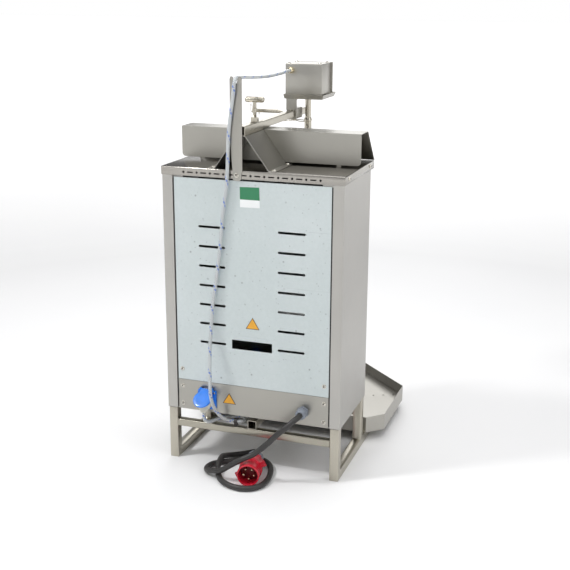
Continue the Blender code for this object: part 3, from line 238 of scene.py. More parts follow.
def braided():
    """Clear sleeve over a silver braid with blue tracer threads, laid along the tube's own UV map."""
    shade = Shade("braided_sleeve", (0.66, 0.69, 0.72), 0.32, 0.0, Coat_Weight=0.8, Coat_Roughness=0.12)
    uv = shade.node("ShaderNodeUVMap", uv_map="run").outputs["UV"]
    split = shade.node("ShaderNodeSeparateXYZ", {"Vector": uv})
    along, round_ = split.outputs["X"], split.outputs["Y"]
    strands = []
    for sign in (1.0, -1.0):
        slant = shade.math("MULTIPLY", round_, 4.0 * sign)
        phase = shade.math("ADD", shade.math("MULTIPLY", along, 210.0), slant)
        strands.append(shade.math("SINE", shade.math("MULTIPLY", phase, 2 * math.pi), 0.0))
    weave = shade.math("MAXIMUM", strands[0], strands[1])
    colour = shade.ramp(shade.spread(weave, 0.0, 1.0, -1.0, 1.0),
                        [(0.0, (0.15, 0.17, 0.18)), (0.55, (0.36, 0.39, 0.40)), (1.0, (0.62, 0.65, 0.66))])
    turn = shade.math("FRACT", shade.math("ADD", shade.math("MULTIPLY", along, 17.0), round_), 0.0)
    thread = shade.math("LESS_THAN", shade.math("ABSOLUTE", shade.math("SUBTRACT", turn, 0.5), 0.0), 0.085)
    dash = shade.math("GREATER_THAN", shade.math("FRACT", shade.math("MULTIPLY", along, 104.0), 0.0), 0.40)
    blue = shade.math("MULTIPLY", shade.math("MULTIPLY", thread, dash), 0.85)
    shade.feed("Base Color", shade.mix(blue, colour, (0.04, 0.13, 0.50)))
    shade.bump(weave, 0.35, 0.0003)
    return shade.made


def element_metal():
    """Dark, scaled sheath of a heating element."""
    shade = Shade("element_sheath", (0.10, 0.085, 0.075), 0.50, 0.6)
    tone = shade.noise(22.0, 4.0)
    shade.feed("Base Color", shade.ramp(tone, [(0.3, (0.06, 0.05, 0.048)), (0.7, (0.17, 0.135, 0.11))]))
    shade.feed("Roughness", shade.spread(tone, 0.42, 0.62))
    return shade.made


def two_tone(name, low, high, low_colour, high_colour):
    """A printed label: one colour under a height, another above it, with a paper grain."""
    shade = Shade(name, high_colour, 0.38, 0.0)
    split = shade.node("ShaderNodeSeparateXYZ", {"Vector": shade.place})
    step = shade.spread(split.outputs["Z"], 0.0, 1.0, low, high)
    grain = shade.noise(300.0, 2.0)
    light = shade.mix(grain, high_colour, tuple(0.88 * c for c in high_colour))
    shade.feed("Base Color", shade.mix(step, low_colour, light))
    return shade.made


def floor_material():
    """Pale floor that glows more with distance, so that it ends white."""
    shade = Shade("studio_floor", (0.90, 0.90, 0.90), 0.55, 0.0)
    tone = shade.noise(1.5, 2.0)
    shade.feed("Base Color", shade.ramp(tone, [(0.3, (0.895, 0.895, 0.90)), (0.7, (0.915, 0.915, 0.915))]))
    shade.shader.inputs["Emission Color"].default_value = (1.0, 1.0, 1.0, 1.0)
    reach = shade.node("ShaderNodeVectorMath", {"Vector": shade.place}, operation="LENGTH").outputs["Value"]
    shade.feed("Emission Strength", shade.spread(reach, 0.0, 0.85, 2.2, 6.0))
    return shade.made


MAT = {
    "sheet": steel("satin_sheet", (0.395, 0.384, 0.350), 0.34, (30.0, 900.0, 900.0)),
    "pressed": steel("pressed_sheet", (0.465, 0.452, 0.415), 0.36, (30.0, 900.0, 900.0)),
    "side": steel("side_sheet", (0.475, 0.464, 0.438), 0.36, (900.0, 900.0, 30.0)),
    "cover": steel("cover_sheet", (0.390, 0.372, 0.342), 0.20, (30.0, 900.0, 900.0), 0.03),
    "tube_x": steel("tube_along_x", (0.400, 0.378, 0.318), 0.30, (25.0, 1100.0, 1100.0), 0.10),
    "tube_y": steel("tube_along_y", (0.500, 0.472, 0.402), 0.30, (1100.0, 25.0, 1100.0), 0.10),
    "polished": steel("polished_steel", (0.700, 0.685, 0.650), 0.16, (300.0, 300.0, 40.0), 0.02),
    "turned": steel("turned_steel", (0.520, 0.488, 0.415), 0.26, (200.0, 200.0, 1200.0), 0.08),
    "screw": steel("screw_steel", (0.700, 0.675, 0.610), 0.16, (500.0, 500.0, 500.0), 0.03),
    "brass": steel("nickel_brass", (0.720, 0.630, 0.440), 0.24, (400.0, 400.0, 400.0), 0.04),
    "mirror": steel("reflector_sheet", (0.780, 0.775, 0.760), 0.12, (40.0, 800.0, 800.0), 0.03),
    "motor": plastic("motor_paint", (0.16, 0.165, 0.17), 0.45, 0.10),
    "zinc": galvanised(),
    "element": element_metal(),
    "braid": braided(),
    "rubber": plastic("black_rubber", (0.036, 0.034, 0.033), 0.46, 0.10),
    "black": plastic("black_plastic", (0.022, 0.022, 0.024), 0.38),
    "grey": plastic("grey_plastic", (0.230, 0.255, 0.300), 0.46),
    "blue": plastic("blue_plastic", (0.016, 0.215, 0.830), 0.34, Coat_Weight=0.2),
    "red": plastic("red_plastic", (0.620, 0.008, 0.030), 0.30, Coat_Weight=0.3),
    "dark_red": plastic("insert_plastic", (0.180, 0.006, 0.014), 0.45),
    "ivory": plastic("ivory_plastic", (0.730, 0.710, 0.610), 0.42),
    "green": plastic("green_rocker", (0.020, 0.330, 0.090), 0.28, Coat_Weight=0.4),
    "lamp": plastic("amber_lens", (0.800, 0.260, 0.020), 0.18, Coat_Weight=0.6),
    "mark": plastic("pointer_paint", (0.80, 0.80, 0.78), 0.45),
    "recess": plastic("recess_shadow", (0.035, 0.034, 0.032), 0.60),
    "amber": plastic("warning_film", (0.830, 0.400, 0.030), 0.40),
    "border": plastic("warning_border", (0.045, 0.035, 0.025), 0.45),
}


# ---------------------------------------------------------------- mesh helpers
def link(name, data, mat, body, nodes=()):
    """Makes an object of a mesh, gives it a material and a body, and hides the CAD nodes it stands for."""
    made = bpy.data.objects.new(name, data)
    bpy.context.scene.collection.objects.link(made)
    data.materials.append(MAT[mat])
    if body:
        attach(made, body)
    if nodes:
        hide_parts(*nodes)
    return made


def solid(name, bm, mat, body, nodes=(), smooth=35, bevel=0.0):
    """Turns a bmesh into an object, smooth up to an angle in degrees, its edges rounded by a bevel."""
    bmesh.ops.recalc_face_normals(bm, faces=bm.faces)
    mesh = bpy.data.meshes.new(name)
    bm.to_mesh(mesh)
    bm.free()
    mesh.shade_smooth()
    mesh.set_sharp_from_angle(angle=math.radians(smooth))
    made = link(name, mesh, mat, body, nodes)
    if bevel:
        soften(made, bevel)
    return made


def soften(made, width, segments=2):
    step = made.modifiers.new("soften", "BEVEL")
    step.width = width
    step.segments = segments
    step.limit_method = "ANGLE"
    step.angle_limit = math.radians(32)
    step.harden_normals = True


def dress(node, mat, bevel=0.0, smooth=32):
    """Stands for a CAD node with its own shape, its edges rounded, and a material."""
    bm = bmesh.new()
    bm.from_mesh(frame["nodes"][node].data)
    bmesh.ops.remove_doubles(bm, verts=bm.verts, dist=1e-6)
    bmesh.ops.dissolve_limit(bm, angle_limit=math.radians(0.6), verts=bm.verts, edges=bm.edges)
    return solid(node + "_finish", bm, mat, BODY_OF[node], (node,), smooth, bevel)


def circle(bm, centre, side, other, radius, count):
    """Ring of new vertices round a centre."""
    angles = [2 * math.pi * k / count for k in range(count)]
    return [bm.verts.new(centre + (side * math.cos(a) + other * math.sin(a)) * radius) for a in angles]


def lathe(bm, profile, origin, axis, segments=48, closed=False):
    """Solid of revolution of (radius, distance along the axis) points."""
    direction = Vector(axis).normalized()
    side = direction.orthogonal().normalized()
    other = direction.cross(side)
    rings = []
    for radius, along in profile:
        centre = Vector(origin) + direction * along
        if radius < 1e-7:
            rings.append([bm.verts.new(centre)])
        else:
            rings.append(circle(bm, centre, side, other, radius, segments))
    pairs = list(zip(rings, rings[1:]))
    if closed:
        pairs.append((rings[-1], rings[0]))
    for low, high in pairs:
        for k in range(segments):
            n = (k + 1) % segments
            if len(low) == 1:
                bm.faces.new((low[0], high[k], high[n]))
            elif len(high) == 1:
                bm.faces.new((low[k], low[n], high[0]))
            else:
                bm.faces.new((low[k], low[n], high[n], high[k]))


def turned(name, profile, origin, axis, mat, body, nodes=(), segments=48, smooth=40, closed=False, bevel=0.0):
    """Piece that is one solid of revolution."""
    bm = bmesh.new()
    lathe(bm, profile, origin, axis, segments, closed)
    return solid(name, bm, mat, body, nodes, smooth, bevel)


def block(bm, origin, u, v, w, sizes):
    """Box centred on a point, with its three directions and full sizes."""
    made = bmesh.ops.create_cube(bm, size=1.0)["verts"]
    for vert in made:
        x, y, z = vert.co
        vert.co = (Vector(origin) + Vector(u) * x * sizes[0] + Vector(v) * y * sizes[1]
                   + Vector(w) * z * sizes[2])


def plate(bm, points, offset):
    """Prism of a flat outline of world points, thickened by an offset vector."""
    low = [bm.verts.new(p) for p in points]
    high = [bm.verts.new(Vector(p) + offset) for p in points]
    bm.faces.new(low)
    bm.faces.new(high)
    for i in range(len(points)):
        j = (i + 1) % len(points)
        bm.faces.new((low[i], low[j], high[j], high[i]))


def smooth_route(route, spacing, turn_per_point=0.22):
    """Points on the smooth curve through a route's own points, closer together in bends."""
    points = [Vector(p) for p in route]
    padded = [2 * points[0] - points[1]] + points + [2 * points[-1] - points[-2]]
    fine = []
    for i in range(1, len(padded) - 2):
        p0, p1, p2, p3 = padded[i - 1:i + 3]
        knots = [0.0]
        for a, b in ((p0, p1), (p1, p2), (p2, p3)):
            knots.append(knots[-1] + max(1e-6, (b - a).length) ** 0.5)
        t0, t1, t2, t3 = knots
        for k in range(24):
            t = t1 + (t2 - t1) * k / 24
            a1 = p0 * (t1 - t) / (t1 - t0) + p1 * (t - t0) / (t1 - t0)
            a2 = p1 * (t2 - t) / (t2 - t1) + p2 * (t - t1) / (t2 - t1)
            a3 = p2 * (t3 - t) / (t3 - t2) + p3 * (t - t2) / (t3 - t2)
            b1 = a1 * (t2 - t) / (t2 - t0) + a2 * (t - t0) / (t2 - t0)
            b2 = a2 * (t3 - t) / (t3 - t1) + a3 * (t - t1) / (t3 - t1)
            fine.append(b1 * (t2 - t) / (t2 - t1) + b2 * (t - t1) / (t2 - t1))
    fine.append(points[-1])
    passed = [0.0]
    for i in range(len(fine) - 1):
        ahead = fine[i + 1] - fine[i]
        turn = ahead.angle(fine[i] - fine[i - 1], 0.0) if i else 0.0
        passed.append(passed[-1] + ahead.length / spacing + turn / turn_per_point)
    steps = math.ceil(passed[-1])
    even, k = [], 0
    for n in range(steps + 1):
        goal = passed[-1] * n / steps
        while k < len(fine) - 2 and passed[k + 1] < goal:
            k += 1
        share = (goal - passed[k]) / (passed[k + 1] - passed[k])
        even.append(fine[k].lerp(fine[k + 1], share))
    return even


def tube(name, points, radius, mat, body, nodes=(), sides=20):
    """Round tube along points, capped, with a UV map: metres along it and turns round it."""
    count = len(points)
    ways = [(points[min(i + 1, count - 1)] - points[max(i - 1, 0)]).normalized() for i in range(count)]
    side = ways[0].orthogonal().normalized()
    rings, runs, run = [], [], 0.0
    bm = bmesh.new()
    for i, point in enumerate(points):
        side = (side - ways[i] * side.dot(ways[i])).normalized()
        other = ways[i].cross(side)
        run += (point - points[i - 1]).length if i else 0.0
        rings.append(circle(bm, point, side, other, radius, sides))
        runs.append(run)
    uv = bm.loops.layers.uv.new("run")
    for i in range(count - 1):
        for k in range(sides):
            n = (k + 1) % sides
            face = bm.faces.new((rings[i][k], rings[i][n], rings[i + 1][n], rings[i + 1][k]))
            places = ((runs[i], k), (runs[i], k + 1), (runs[i + 1], k + 1), (runs[i + 1], k))
            for loop, (along, turn) in zip(face.loops, places):
                loop[uv].uv = (along, turn / sides)
    bm.faces.new(rings[0][::-1])
    bm.faces.new(rings[-1])
    return solid(name, bm, mat, body, nodes, smooth=60), run


# ---------------------------------------------------------------- cords
def make_motor_lead():
    """Motor lead: the span along the arm, and the part that hangs down the rear."""
    join = 0.0120
    span = [(0.0288, 0.4045 - 0.0153, 1.0578), (0.0289, 0.370, 1.0574), (0.0310, 0.320, 1.0548),
            (0.0338, 0.220, 1.0540), (0.0355, 0.120, 1.0590), (0.0372, 0.050, 1.0640),
            (0.0380, 0.024, 1.0658), (0.0380, join, 1.0662)]
    points = smooth_route([at(*p) for p in span], 0.008)
    made, length = tube("motor_lead_span", points, MOTOR_LEAD_RADIUS, "braid", None, ("motor_cable_span",))
    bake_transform(made)
    back = -0.0102
    drop = [(0.0380, join - 0.0006, 1.0662), (0.0380, 0.004, 1.0662), (0.0386, -0.0050, 1.0625),
            (0.0396, back, 1.0530), (0.0415, back, 1.0320), (0.0455, back, 1.0050),
            (0.0520, back, 0.9620), (0.0570, back, 0.9120), (0.0590, back, 0.8600),
            (0.0610, back, 0.8200), (0.0650, back, 0.7800), (0.0735, back, 0.7250),
            (0.0830, back, 0.6300), (0.0960, back, 0.5350), (0.1060, -0.0120, 0.4680),
            (0.1100, -0.0140, 0.4100), (0.1110, -0.0200, 0.3700), (0.1085, -0.0310, 0.3300),
            (0.1030, -0.0460, 0.2950), (0.0985, -0.0560, 0.2650), (0.0970, -0.0580, 0.2300),
            (0.0950, -0.0500, 0.2000), (0.0900, -0.0370, 0.1740), (0.0820, -0.0210, 0.1520),
            (0.0730, -0.0050, 0.1370), (0.0640, 0.0070, 0.1318), (0.0560, 0.0100, 0.1312),
            (0.0440, 0.0100, 0.1312), (0.0350, 0.0140, 0.1310), (0.0300, 0.0250, 0.1304),
            (0.0330, 0.0390, 0.1298), (0.0460, 0.0480, 0.1292), (0.0660, 0.0470, 0.1290),
            (0.0860, 0.0360, 0.1292), (0.1010, 0.0180, 0.1300), (0.1120, -0.0020, 0.1290),
            (0.1210, -0.0160, 0.1290), (0.1286, -0.0228, 0.1350), (0.1322, -0.0232, 0.1450),
            (0.1325, -0.0220, 0.1572)]
    points = smooth_route([at(*p) for p in drop], 0.008)
    made, length = tube("motor_lead", points, MOTOR_LEAD_RADIUS, "braid", "frame", ("motor_cable",))


def make_supply_lead():
    """Supply lead from its gland to the five-pin plug, with one loop on the floor."""
    x, z = GLAND
    floor = SUPPLY_LEAD_RADIUS + 0.0004
    over = floor + 2 * SUPPLY_LEAD_RADIUS + 0.0015
    lead = [(x, -0.0310, z), (-0.1468, -0.0400, 0.1901), (-0.1400, -0.0560, 0.1860),
            (-0.1220, -0.0680, 0.1690), (-0.0960, -0.0740, 0.1440), (-0.0660, -0.0780, 0.1120),
            (-0.0360, -0.0850, 0.0860), (-0.0040, -0.0940, 0.0690), (0.0290, -0.0960, 0.0470),
            (0.0560, -0.0940, over + 0.003), (0.0800, -0.0880, over - 0.004),
            (0.1020, -0.0740, floor + 0.004), (0.1140, -0.0500, floor),
            (0.1080, -0.0240, floor), (0.0870, -0.0040, floor),
            (0.0600, 0.0160, floor), (0.0340, 0.0340, floor), (0.0060, 0.0460, floor),
            (-0.0240, 0.0400, floor), (-0.0480, 0.0140, floor), (-0.0640, -0.0290, floor),
            (-0.0690, -0.0740, floor), (-0.0630, -0.1060, floor), (-0.0430, -0.1290, floor),
            (-0.0140, -0.1360, floor), (0.0160, -0.1300, floor), (0.0440, -0.1130, floor),
            (0.0640, -0.0860, floor), (0.0775, -0.0600, floor + 0.005), (0.0840, -0.0320, over - 0.0015),
            (0.0865, -0.0060, over + 0.0003), (0.0850, 0.0180, floor + 0.010),
            (0.0775, 0.0400, floor + 0.003), (0.0650, 0.0550, floor),
            (0.0500, 0.0632, floor + 0.001), (0.0350, 0.0650, floor + 0.005),
            (0.0190, 0.0615, floor + 0.012), (0.0065, 0.0525, over), (-0.0020, 0.0398, over + 0.0055),
            (-0.0056, 0.0260, PLUG_Z - 0.0005), (-0.0070, 0.0162, PLUG_Z)]
    points = smooth_route([at(*p) for p in lead], 0.012)
    made, length = tube("supply_lead", points, SUPPLY_LEAD_RADIUS, "rubber", "frame", ("supply_cable",), 28)


# ---------------------------------------------------------------- fasteners and small parts
def add_screw(bm, recess, point, axis, radius=0.0046, height=0.0027):
    """Pan head over a thin washer, with a dark cross recess in a mesh of its own: a near-black block of
    painted shade.
    """
    lathe(bm, [(0, -0.0003), (1.30 * radius, -0.0003), (1.30 * radius, 0.0005), (1.22 * radius, 0.0008),
               (radius, 0.0008), (radius, 0.0008 + 0.35 * height), (0.86 * radius, 0.0008 + 0.75 * height),
               (0.55 * radius, 0.0008 + 0.97 * height), (0, 0.0008 + height)], point, axis, 28)
    side = axis.orthogonal().normalized()
    other = axis.cross(side)
    top = Vector(point) + axis * (0.0004 + height)
    for u, v in ((side, other), (other, side)):
        block(recess, top, u, v, axis, (1.15 * radius, 0.36 * radius, 0.0011))


def make_screws():
    bm = bmesh.new()
    recess = bmesh.new()
    add_screw(bm, recess, at(0.0375, -0.0022 - 0.0021, 0.8200), REAR)
    for sign in (-1, 1):
        for z in (0.270, 0.2203, 0.1677):
            add_screw(bm, recess, at(sign * 0.2044, 0.0010, z), REAR)
        for depth in (0.035, 0.243):
            add_screw(bm, recess, at(sign * 0.2522, depth, 0.8222), LEFT * sign)
    for x in (-0.0565, 0.1110):
        for depth in (0.020, 0.127):
            add_screw(bm, recess, at(x, depth, COVER_Z + 0.0018), UP)
    solid("casing_screws", bm, "screw", "frame")
    solid("casing_screw_recesses", recess, "recess", "frame")
    bm = bmesh.new()
    recess = bmesh.new()
    for x in (-0.0545, 0.0375):
        for depth in (0.4135, 0.4850):
            add_screw(bm, recess, at(x, depth, 1.0765), UP, 0.0043, 0.0026)
    solid("motor_cover_screws", bm, "screw", "arm")
    solid("motor_cover_screw_recesses", recess, "recess", "arm")


def make_labels():
    """Blank green and white sticker, and two plain amber warning triangles."""
    corners = ((0.0308, 0.7895), (-0.0226, 0.7911), (-0.0244, 0.7373), (0.0303, 0.7365))
    bm = bmesh.new()
    plate(bm, [at(x, PANEL_FACE, z) for x, z in corners], REAR * 0.0002)
    MAT["sticker"] = two_tone("sticker_film", 0.7571, 0.7573, (0.80, 0.82, 0.82), (0.030, 0.215, 0.095))
    solid("inspection_sticker", bm, "sticker", "frame")
    bm_edge, bm_film = bmesh.new(), bmesh.new()
    for x, low, half, tall in ((-0.0030, 0.4065, 0.0197, 0.0325), (0.0665, 0.1835, 0.0195, 0.0315)):
        for bm, shrink, out in ((bm_edge, 0.0, 0.0002), (bm_film, 0.0016, 0.0004)):
            side = half - 1.7 * shrink
            points = [at(x - side, PANEL_FACE, low + shrink), at(x + side, PANEL_FACE, low + shrink),
                      at(x, PANEL_FACE, low + tall - 2.0 * shrink)]
            plate(bm, points, REAR * out)
    solid("warning_borders", bm_edge, "border", "frame")
    solid("warning_films", bm_film, "amber", "frame")


def make_gap_shade_strips():
    """Thin dark strips under the edges of the rear panels, which paint the shade in the gaps beside them."""
    strip = ((0.2130, 0.154), (0.2204, 0.154), (0.2204, 0.803), (0.2130, 0.803))
    bm = bmesh.new()
    for sign in (-1, 1):
        plate(bm, [at(sign * x, 0.0039, z) for x, z in strip], REAR * 0.0008)
    # black rubber colour used as painted shade in the panel gaps
    solid("panel_gap_shade_strips", bm, "rubber", "frame", (), 35, 0.0002)


def make_clamp():
    """Clamping screw: threaded stem, T bar with round ends, pointed peg, and two rings."""
    x, depth = CLAMP
    foot = ARM_Z + 0.0103
    bm = bmesh.new()
    stem = [(0, 0), (0.0038, 0), (0.0050, 0.0015)]
    for k in range(10):
        z = 0.0016 + 0.0020 * k
        stem += [(0.0050, z), (0.0044, z + 0.0010)]
    stem += [(0.0050, 0.0218), (0.0050, 0.0580), (0, 0.0580)]
    lathe(bm, stem, at(x, depth, foot), UP, 36)
    radius, half = 0.0077, 0.0275
    bends = [math.pi / 2 * k / 6 for k in range(7)]
    dome = [(math.sin(a) * radius, radius * 0.8 * (1 - math.cos(a))) for a in bends]
    lathe(bm, dome + [(r, 2 * half - a) for r, a in dome[::-1]], at(x - half, depth, 1.0030), LEFT, 36)
    peg = [(0, 0), (0.0048, 0), (0.0048, 0.064), (0.0044, 0.067), (0.0012, 0.0775), (0, 0.078)]
    lathe(bm, peg, at(x - 0.001, depth, 0.9750), -LEFT, 32)
    lathe(bm, [(0.0050, -0.0045), (0.0072, -0.0045), (0.0072, 0.0045), (0.0050, 0.0045)],
          at(x, depth, 0.9750), UP, 36, closed=True)
    solid("clamp_handle", bm, "turned", "clamp", ("clamp_screw",), 40)
    centre = at(x + 0.0085, depth - 0.001, 0.9800)
    turns = [2 * math.pi * k / 36 for k in range(37)]
    ring = [centre + Vector((0.0022 * math.sin(a), 0.0085 * math.cos(a), 0.0105 * math.sin(a)))
            for a in turns]
    tube("split_ring", ring, 0.0008, "screw", "clamp", sides=10)
    small = at(x - 0.0120, depth, 0.9690)
    turns = [2 * math.pi * k / 24 for k in range(25)]
    ring = [small + Vector((0, 0.0048 * math.cos(a), 0.0048 * math.sin(a))) for a in turns]
    tube("peg_ring", ring, 0.0007, "screw", "clamp", sides=8)


def make_spit():
    """Drive shaft, coupling sleeve, spit rod with a square bar, the meat disc and its lower bearing."""
    foot = at(*SPIT, 0)
    turned("shaft_finish", [(0, 0.8998), (0.0089, 0.8998), (0.0089, 0.9785), (0, 0.9785)],
           foot, UP, "turned", "spit", ("drive_shaft",), 56)
    turned("sleeve_finish",
           [(0.0091, 0.8846), (0.0103, 0.8846), (0.0107, 0.8852), (0.0107, 0.9050), (0.0101, 0.9056),
            (0.0101, 0.9066), (0.0107, 0.9072), (0.0107, 0.9156), (0.0102, 0.9163), (0.0091, 0.9163)],
           foot, UP, "turned", "spit", ("coupling_sleeve",), 56, closed=True)
    turned("cross_pin_finish",
           [(0, 0), (0.0020, 0), (0.0025, 0.0006), (0.0025, 0.0244), (0.0020, 0.025), (0, 0.025)],
           foot + Vector((-0.0125, 0, 0.9100)), LEFT, "screw", "spit", ("cross_pin",), 24)
    bm = bmesh.new()
    lathe(bm, [(0, 0.8500), (0.0060, 0.8500), (0.0080, 0.8530), (0.0089, 0.8570), (0.0089, 0.8994),
               (0, 0.8994)], foot, UP, 48)
    block(bm, foot + UP * 0.5125, LEFT, REAR, UP, (0.0118, 0.0118, 0.6830))
    lathe(bm, [(0, 0.1492), (0.0030, 0.1492), (0.0049, 0.1520), (0.0049, 0.1740), (0, 0.1740)], foot, UP, 32)
    solid("spit_finish", bm, "polished", "spit", ("spit_rod",), 30)
    turned("disc_finish",
           [(0.0086, 0.1776), (0.0970, 0.1776), (0.0990, 0.1780), (0.0998, 0.1790), (0.0990, 0.1801),
            (0.0970, 0.1804), (0.0175, 0.1804), (0.0160, 0.1812), (0.0152, 0.1830), (0.0150, 0.2010),
            (0.0142, 0.2019), (0.0086, 0.2019)],
           foot, UP, "polished", "spit", ("meat_disc",), 96, 30, closed=True)
    carriage_top, gap = 0.1400, 0.0003
    low = carriage_top + gap
    turned("bearing_finish",
           [(0, low), (0.0158, low), (0.0158, low + 0.0025), (0.0150, low + 0.0032), (0.0120, low + 0.0072),
            (0.0120, 0.1642), (0.0112, 0.1650), (0.0056, 0.1650), (0.0053, 0.1645), (0.0053, 0.1482),
            (0, 0.1482)],
           foot, UP, "turned", "lower_carriage", ("lower_bearing",), 56)


def make_wing_bolt():
    """Wing bolt with two looped wings."""
    origin = at(CLAMP[0], 0.430, ARM_Z - 0.0106 - 0.0065)
    turned("wing_hub",
           [(0, -0.0046), (0.0048, -0.0046), (0.0058, -0.0036), (0.0060, -0.0002), (0.0032, 0),
            (0.0031, 0.0062), (0, 0.0062)],
           origin, UP, "turned", "wing", ("wing_bolt",), 28)
    for number, sign in enumerate((-1, 1)):
        loop = [(0.003, -0.0012), (0.012, -0.0014), (0.024, -0.0016), (0.031, -0.0026), (0.0325, -0.0050),
                (0.029, -0.0068), (0.020, -0.0064), (0.010, -0.0048), (0.003, -0.0034)]
        points = smooth_route([origin + Vector((sign * px, 0, pz)) for px, pz in loop], 0.003, 0.3)
        tube("wing_loop_%d" % number, points, 0.0013, "turned", "wing", sides=12)


def make_supply_gland():
    """Hexagon nut, and a dome nut whose sides are drawn out to six faint corners."""
    x, z = GLAND
    bm = bmesh.new()
    corners = [math.pi / 6 + math.pi / 3 * k for k in range(6)]
    nut = 0.0168
    plate(bm, [at(x + nut * math.cos(a), PANEL_FACE, z + nut * math.sin(a)) for a in corners], REAR * 0.0075)
    dome = [(0.0110, 0.0), (0.0132, 0.0), (0.0132, 0.0012), (0.0148, 0.0020), (0.0148, 0.0150),
            (0.0138, 0.0182), (0.0112, 0.0208), (0.0090, 0.0218), (0.0080, 0.0219), (0.0080, 0.0)]
    start = len(bm.verts)
    lathe(bm, dome, at(x, -0.0076, z), REAR, 36, closed=True)
    bm.verts.ensure_lookup_table()
    axis_point = at(x, 0, z)
    for vert in bm.verts[start:]:
        away = vert.co - axis_point
        away.y = 0
        if 0.0145 < away.length < 0.0151:
            angle = (math.atan2(away.z, away.x) + math.pi / 6) % (math.pi / 3) - math.pi / 6
            vert.co += away.normalized() * (0.0138 / math.cos(angle) - away.length) * 0.8
    solid("supply_gland_finish", bm, "grey", "frame", ("supply_gland",), 28, 0.0004)


def make_five_pin_plug():
    """Five-pin plug lying on the floor: ribbed shell with two lugs, cable gland, insert and pins."""
    axis = Vector((-0.1700, 0.9854, 0.0)).normalized()
    face = Vector((-0.0284, REAR_Y + 0.1079, PLUG_Z))
    root = face - axis * 0.1000
    side = axis.cross(UP).normalized()
    bm = bmesh.new()
    profile = [(0.0, 0.0), (0.0192, 0.0), (0.0206, 0.0010), (0.0238, 0.0060), (0.0256, 0.0200),
               (0.0268, 0.0340), (0.0290, 0.0440), (0.0312, 0.0492), (0.0317, 0.0510), (0.0317, 0.0596),
               (0.0311, 0.0604),
               (0.0292, 0.0612), (0.0290, 0.0900), (0.0296, 0.0915), (0.0302, 0.0921), (0.0303, 0.0990),
               (0.0299, 0.1000), (0.0273, 0.1000), (0.0267, 0.0992), (0.0266, 0.0622), (0.0, 0.0622)]
    lathe(bm, profile, root, axis, 80)
    for k in range(12):
        turn = 2 * math.pi * (k + 0.5) / 12
        out = side * math.cos(turn) + UP * math.sin(turn)
        block(bm, root + axis * 0.0205 + out * 0.0254, axis, out.cross(axis), out, (0.0270, 0.0024, 0.0022))
    roll = math.radians(-28)
    across = side * math.cos(roll) + UP * math.sin(roll)
    tall = across.cross(axis)
    for sign in (-1, 1):
        hinge = root + axis * 0.0550 + across * sign * 0.0340
        block(bm, hinge, axis, tall, across, (0.0140, 0.0140, 0.0100))
        block(bm, hinge + axis * 0.0040 + across * sign * 0.0075, axis, tall, across, (0.0065, 0.0160, 0.0075))
    solid("five_pin_plug", bm, "red", "frame", ("plug_shell",), 32, 0.0005)
    turned("five_pin_gland",
           [(0, -0.0250), (0.0104, -0.0250), (0.0124, -0.0240), (0.0188, -0.0190), (0.0226, -0.0135),
            (0.0231, -0.0120), (0.0231, -0.0004), (0, -0.0004)],
           root, axis, "grey", "frame", ("plug_gland",), 14, 25, bevel=0.0008)
    turned("five_pin_insert", [(0, 0.0624), (0.0262, 0.0624), (0.0262, 0.0668), (0, 0.0668)],
           root, axis, "dark_red", "frame", ("plug_pin_insert",), 56)
    bm = bmesh.new()
    for k in range(5):
        turn = math.radians(72 * k - 18)
        radius = 0.0038 if k == 0 else 0.0029
        centre = root + axis * 0.0664 + (side * math.cos(turn) + UP * math.sin(turn)) * 0.0148
        lathe(bm, [(0, 0), (radius, 0), (radius, 0.0205), (0.85 * radius, 0.0217), (0.5 * radius, 0.0224),
                   (0, 0.0225)], centre, axis, 24)
    solid("five_pin_pins", bm, "brass", "frame", (), 40)


def make_socket():
    """Panel socket: square flange with a round collar, lugs for the lid, and two screws."""
    x, z = SOCKET
    bm = bmesh.new()
    outline = []
    for corner, (su, sv) in enumerate(((1, 1), (-1, 1), (-1, -1), (1, -1))):
        for k in range(7):
            angle = math.pi / 2 * (corner + k / 6)
            outline.append(at(x + su * 0.0230 + 0.0044 * math.cos(angle), PANEL_FACE,
                              z + sv * 0.0230 + 0.0044 * math.sin(angle)))
    plate(bm, outline, REAR * 0.0040)
    lathe(bm, [(0.0195, 0.0), (0.0222, 0.0), (0.0222, 0.0118), (0.0216, 0.0125), (0.0200, 0.0125),
               (0.0195, 0.0118)], at(x, 0.0, z), REAR, 64, closed=True)
    lathe(bm, [(0.0150, -0.0390), (0.0221, -0.0390), (0.0221, 0.0), (0.0150, 0.0)],
          at(x, 0.0, z), REAR, 40, closed=True)
    for sign in (-1, 1):
        block(bm, at(x + sign * 0.0170, -0.0076, z + 0.0300), LEFT, REAR, UP, (0.0040, 0.0125, 0.0085))
    solid("socket_finish", bm, "blue", "frame", ("socket_flange",), 32, 0.0005)
    bm = bmesh.new()
    recess = bmesh.new()
    for sign in (-1, 1):
        add_screw(bm, recess, at(x + sign * 0.0215, -0.0032, z - sign * 0.0215), REAR, 0.0024, 0.0014)
    solid("socket_screws", bm, "screw", "frame")
    solid("socket_screw_recesses", recess, "recess", "frame")


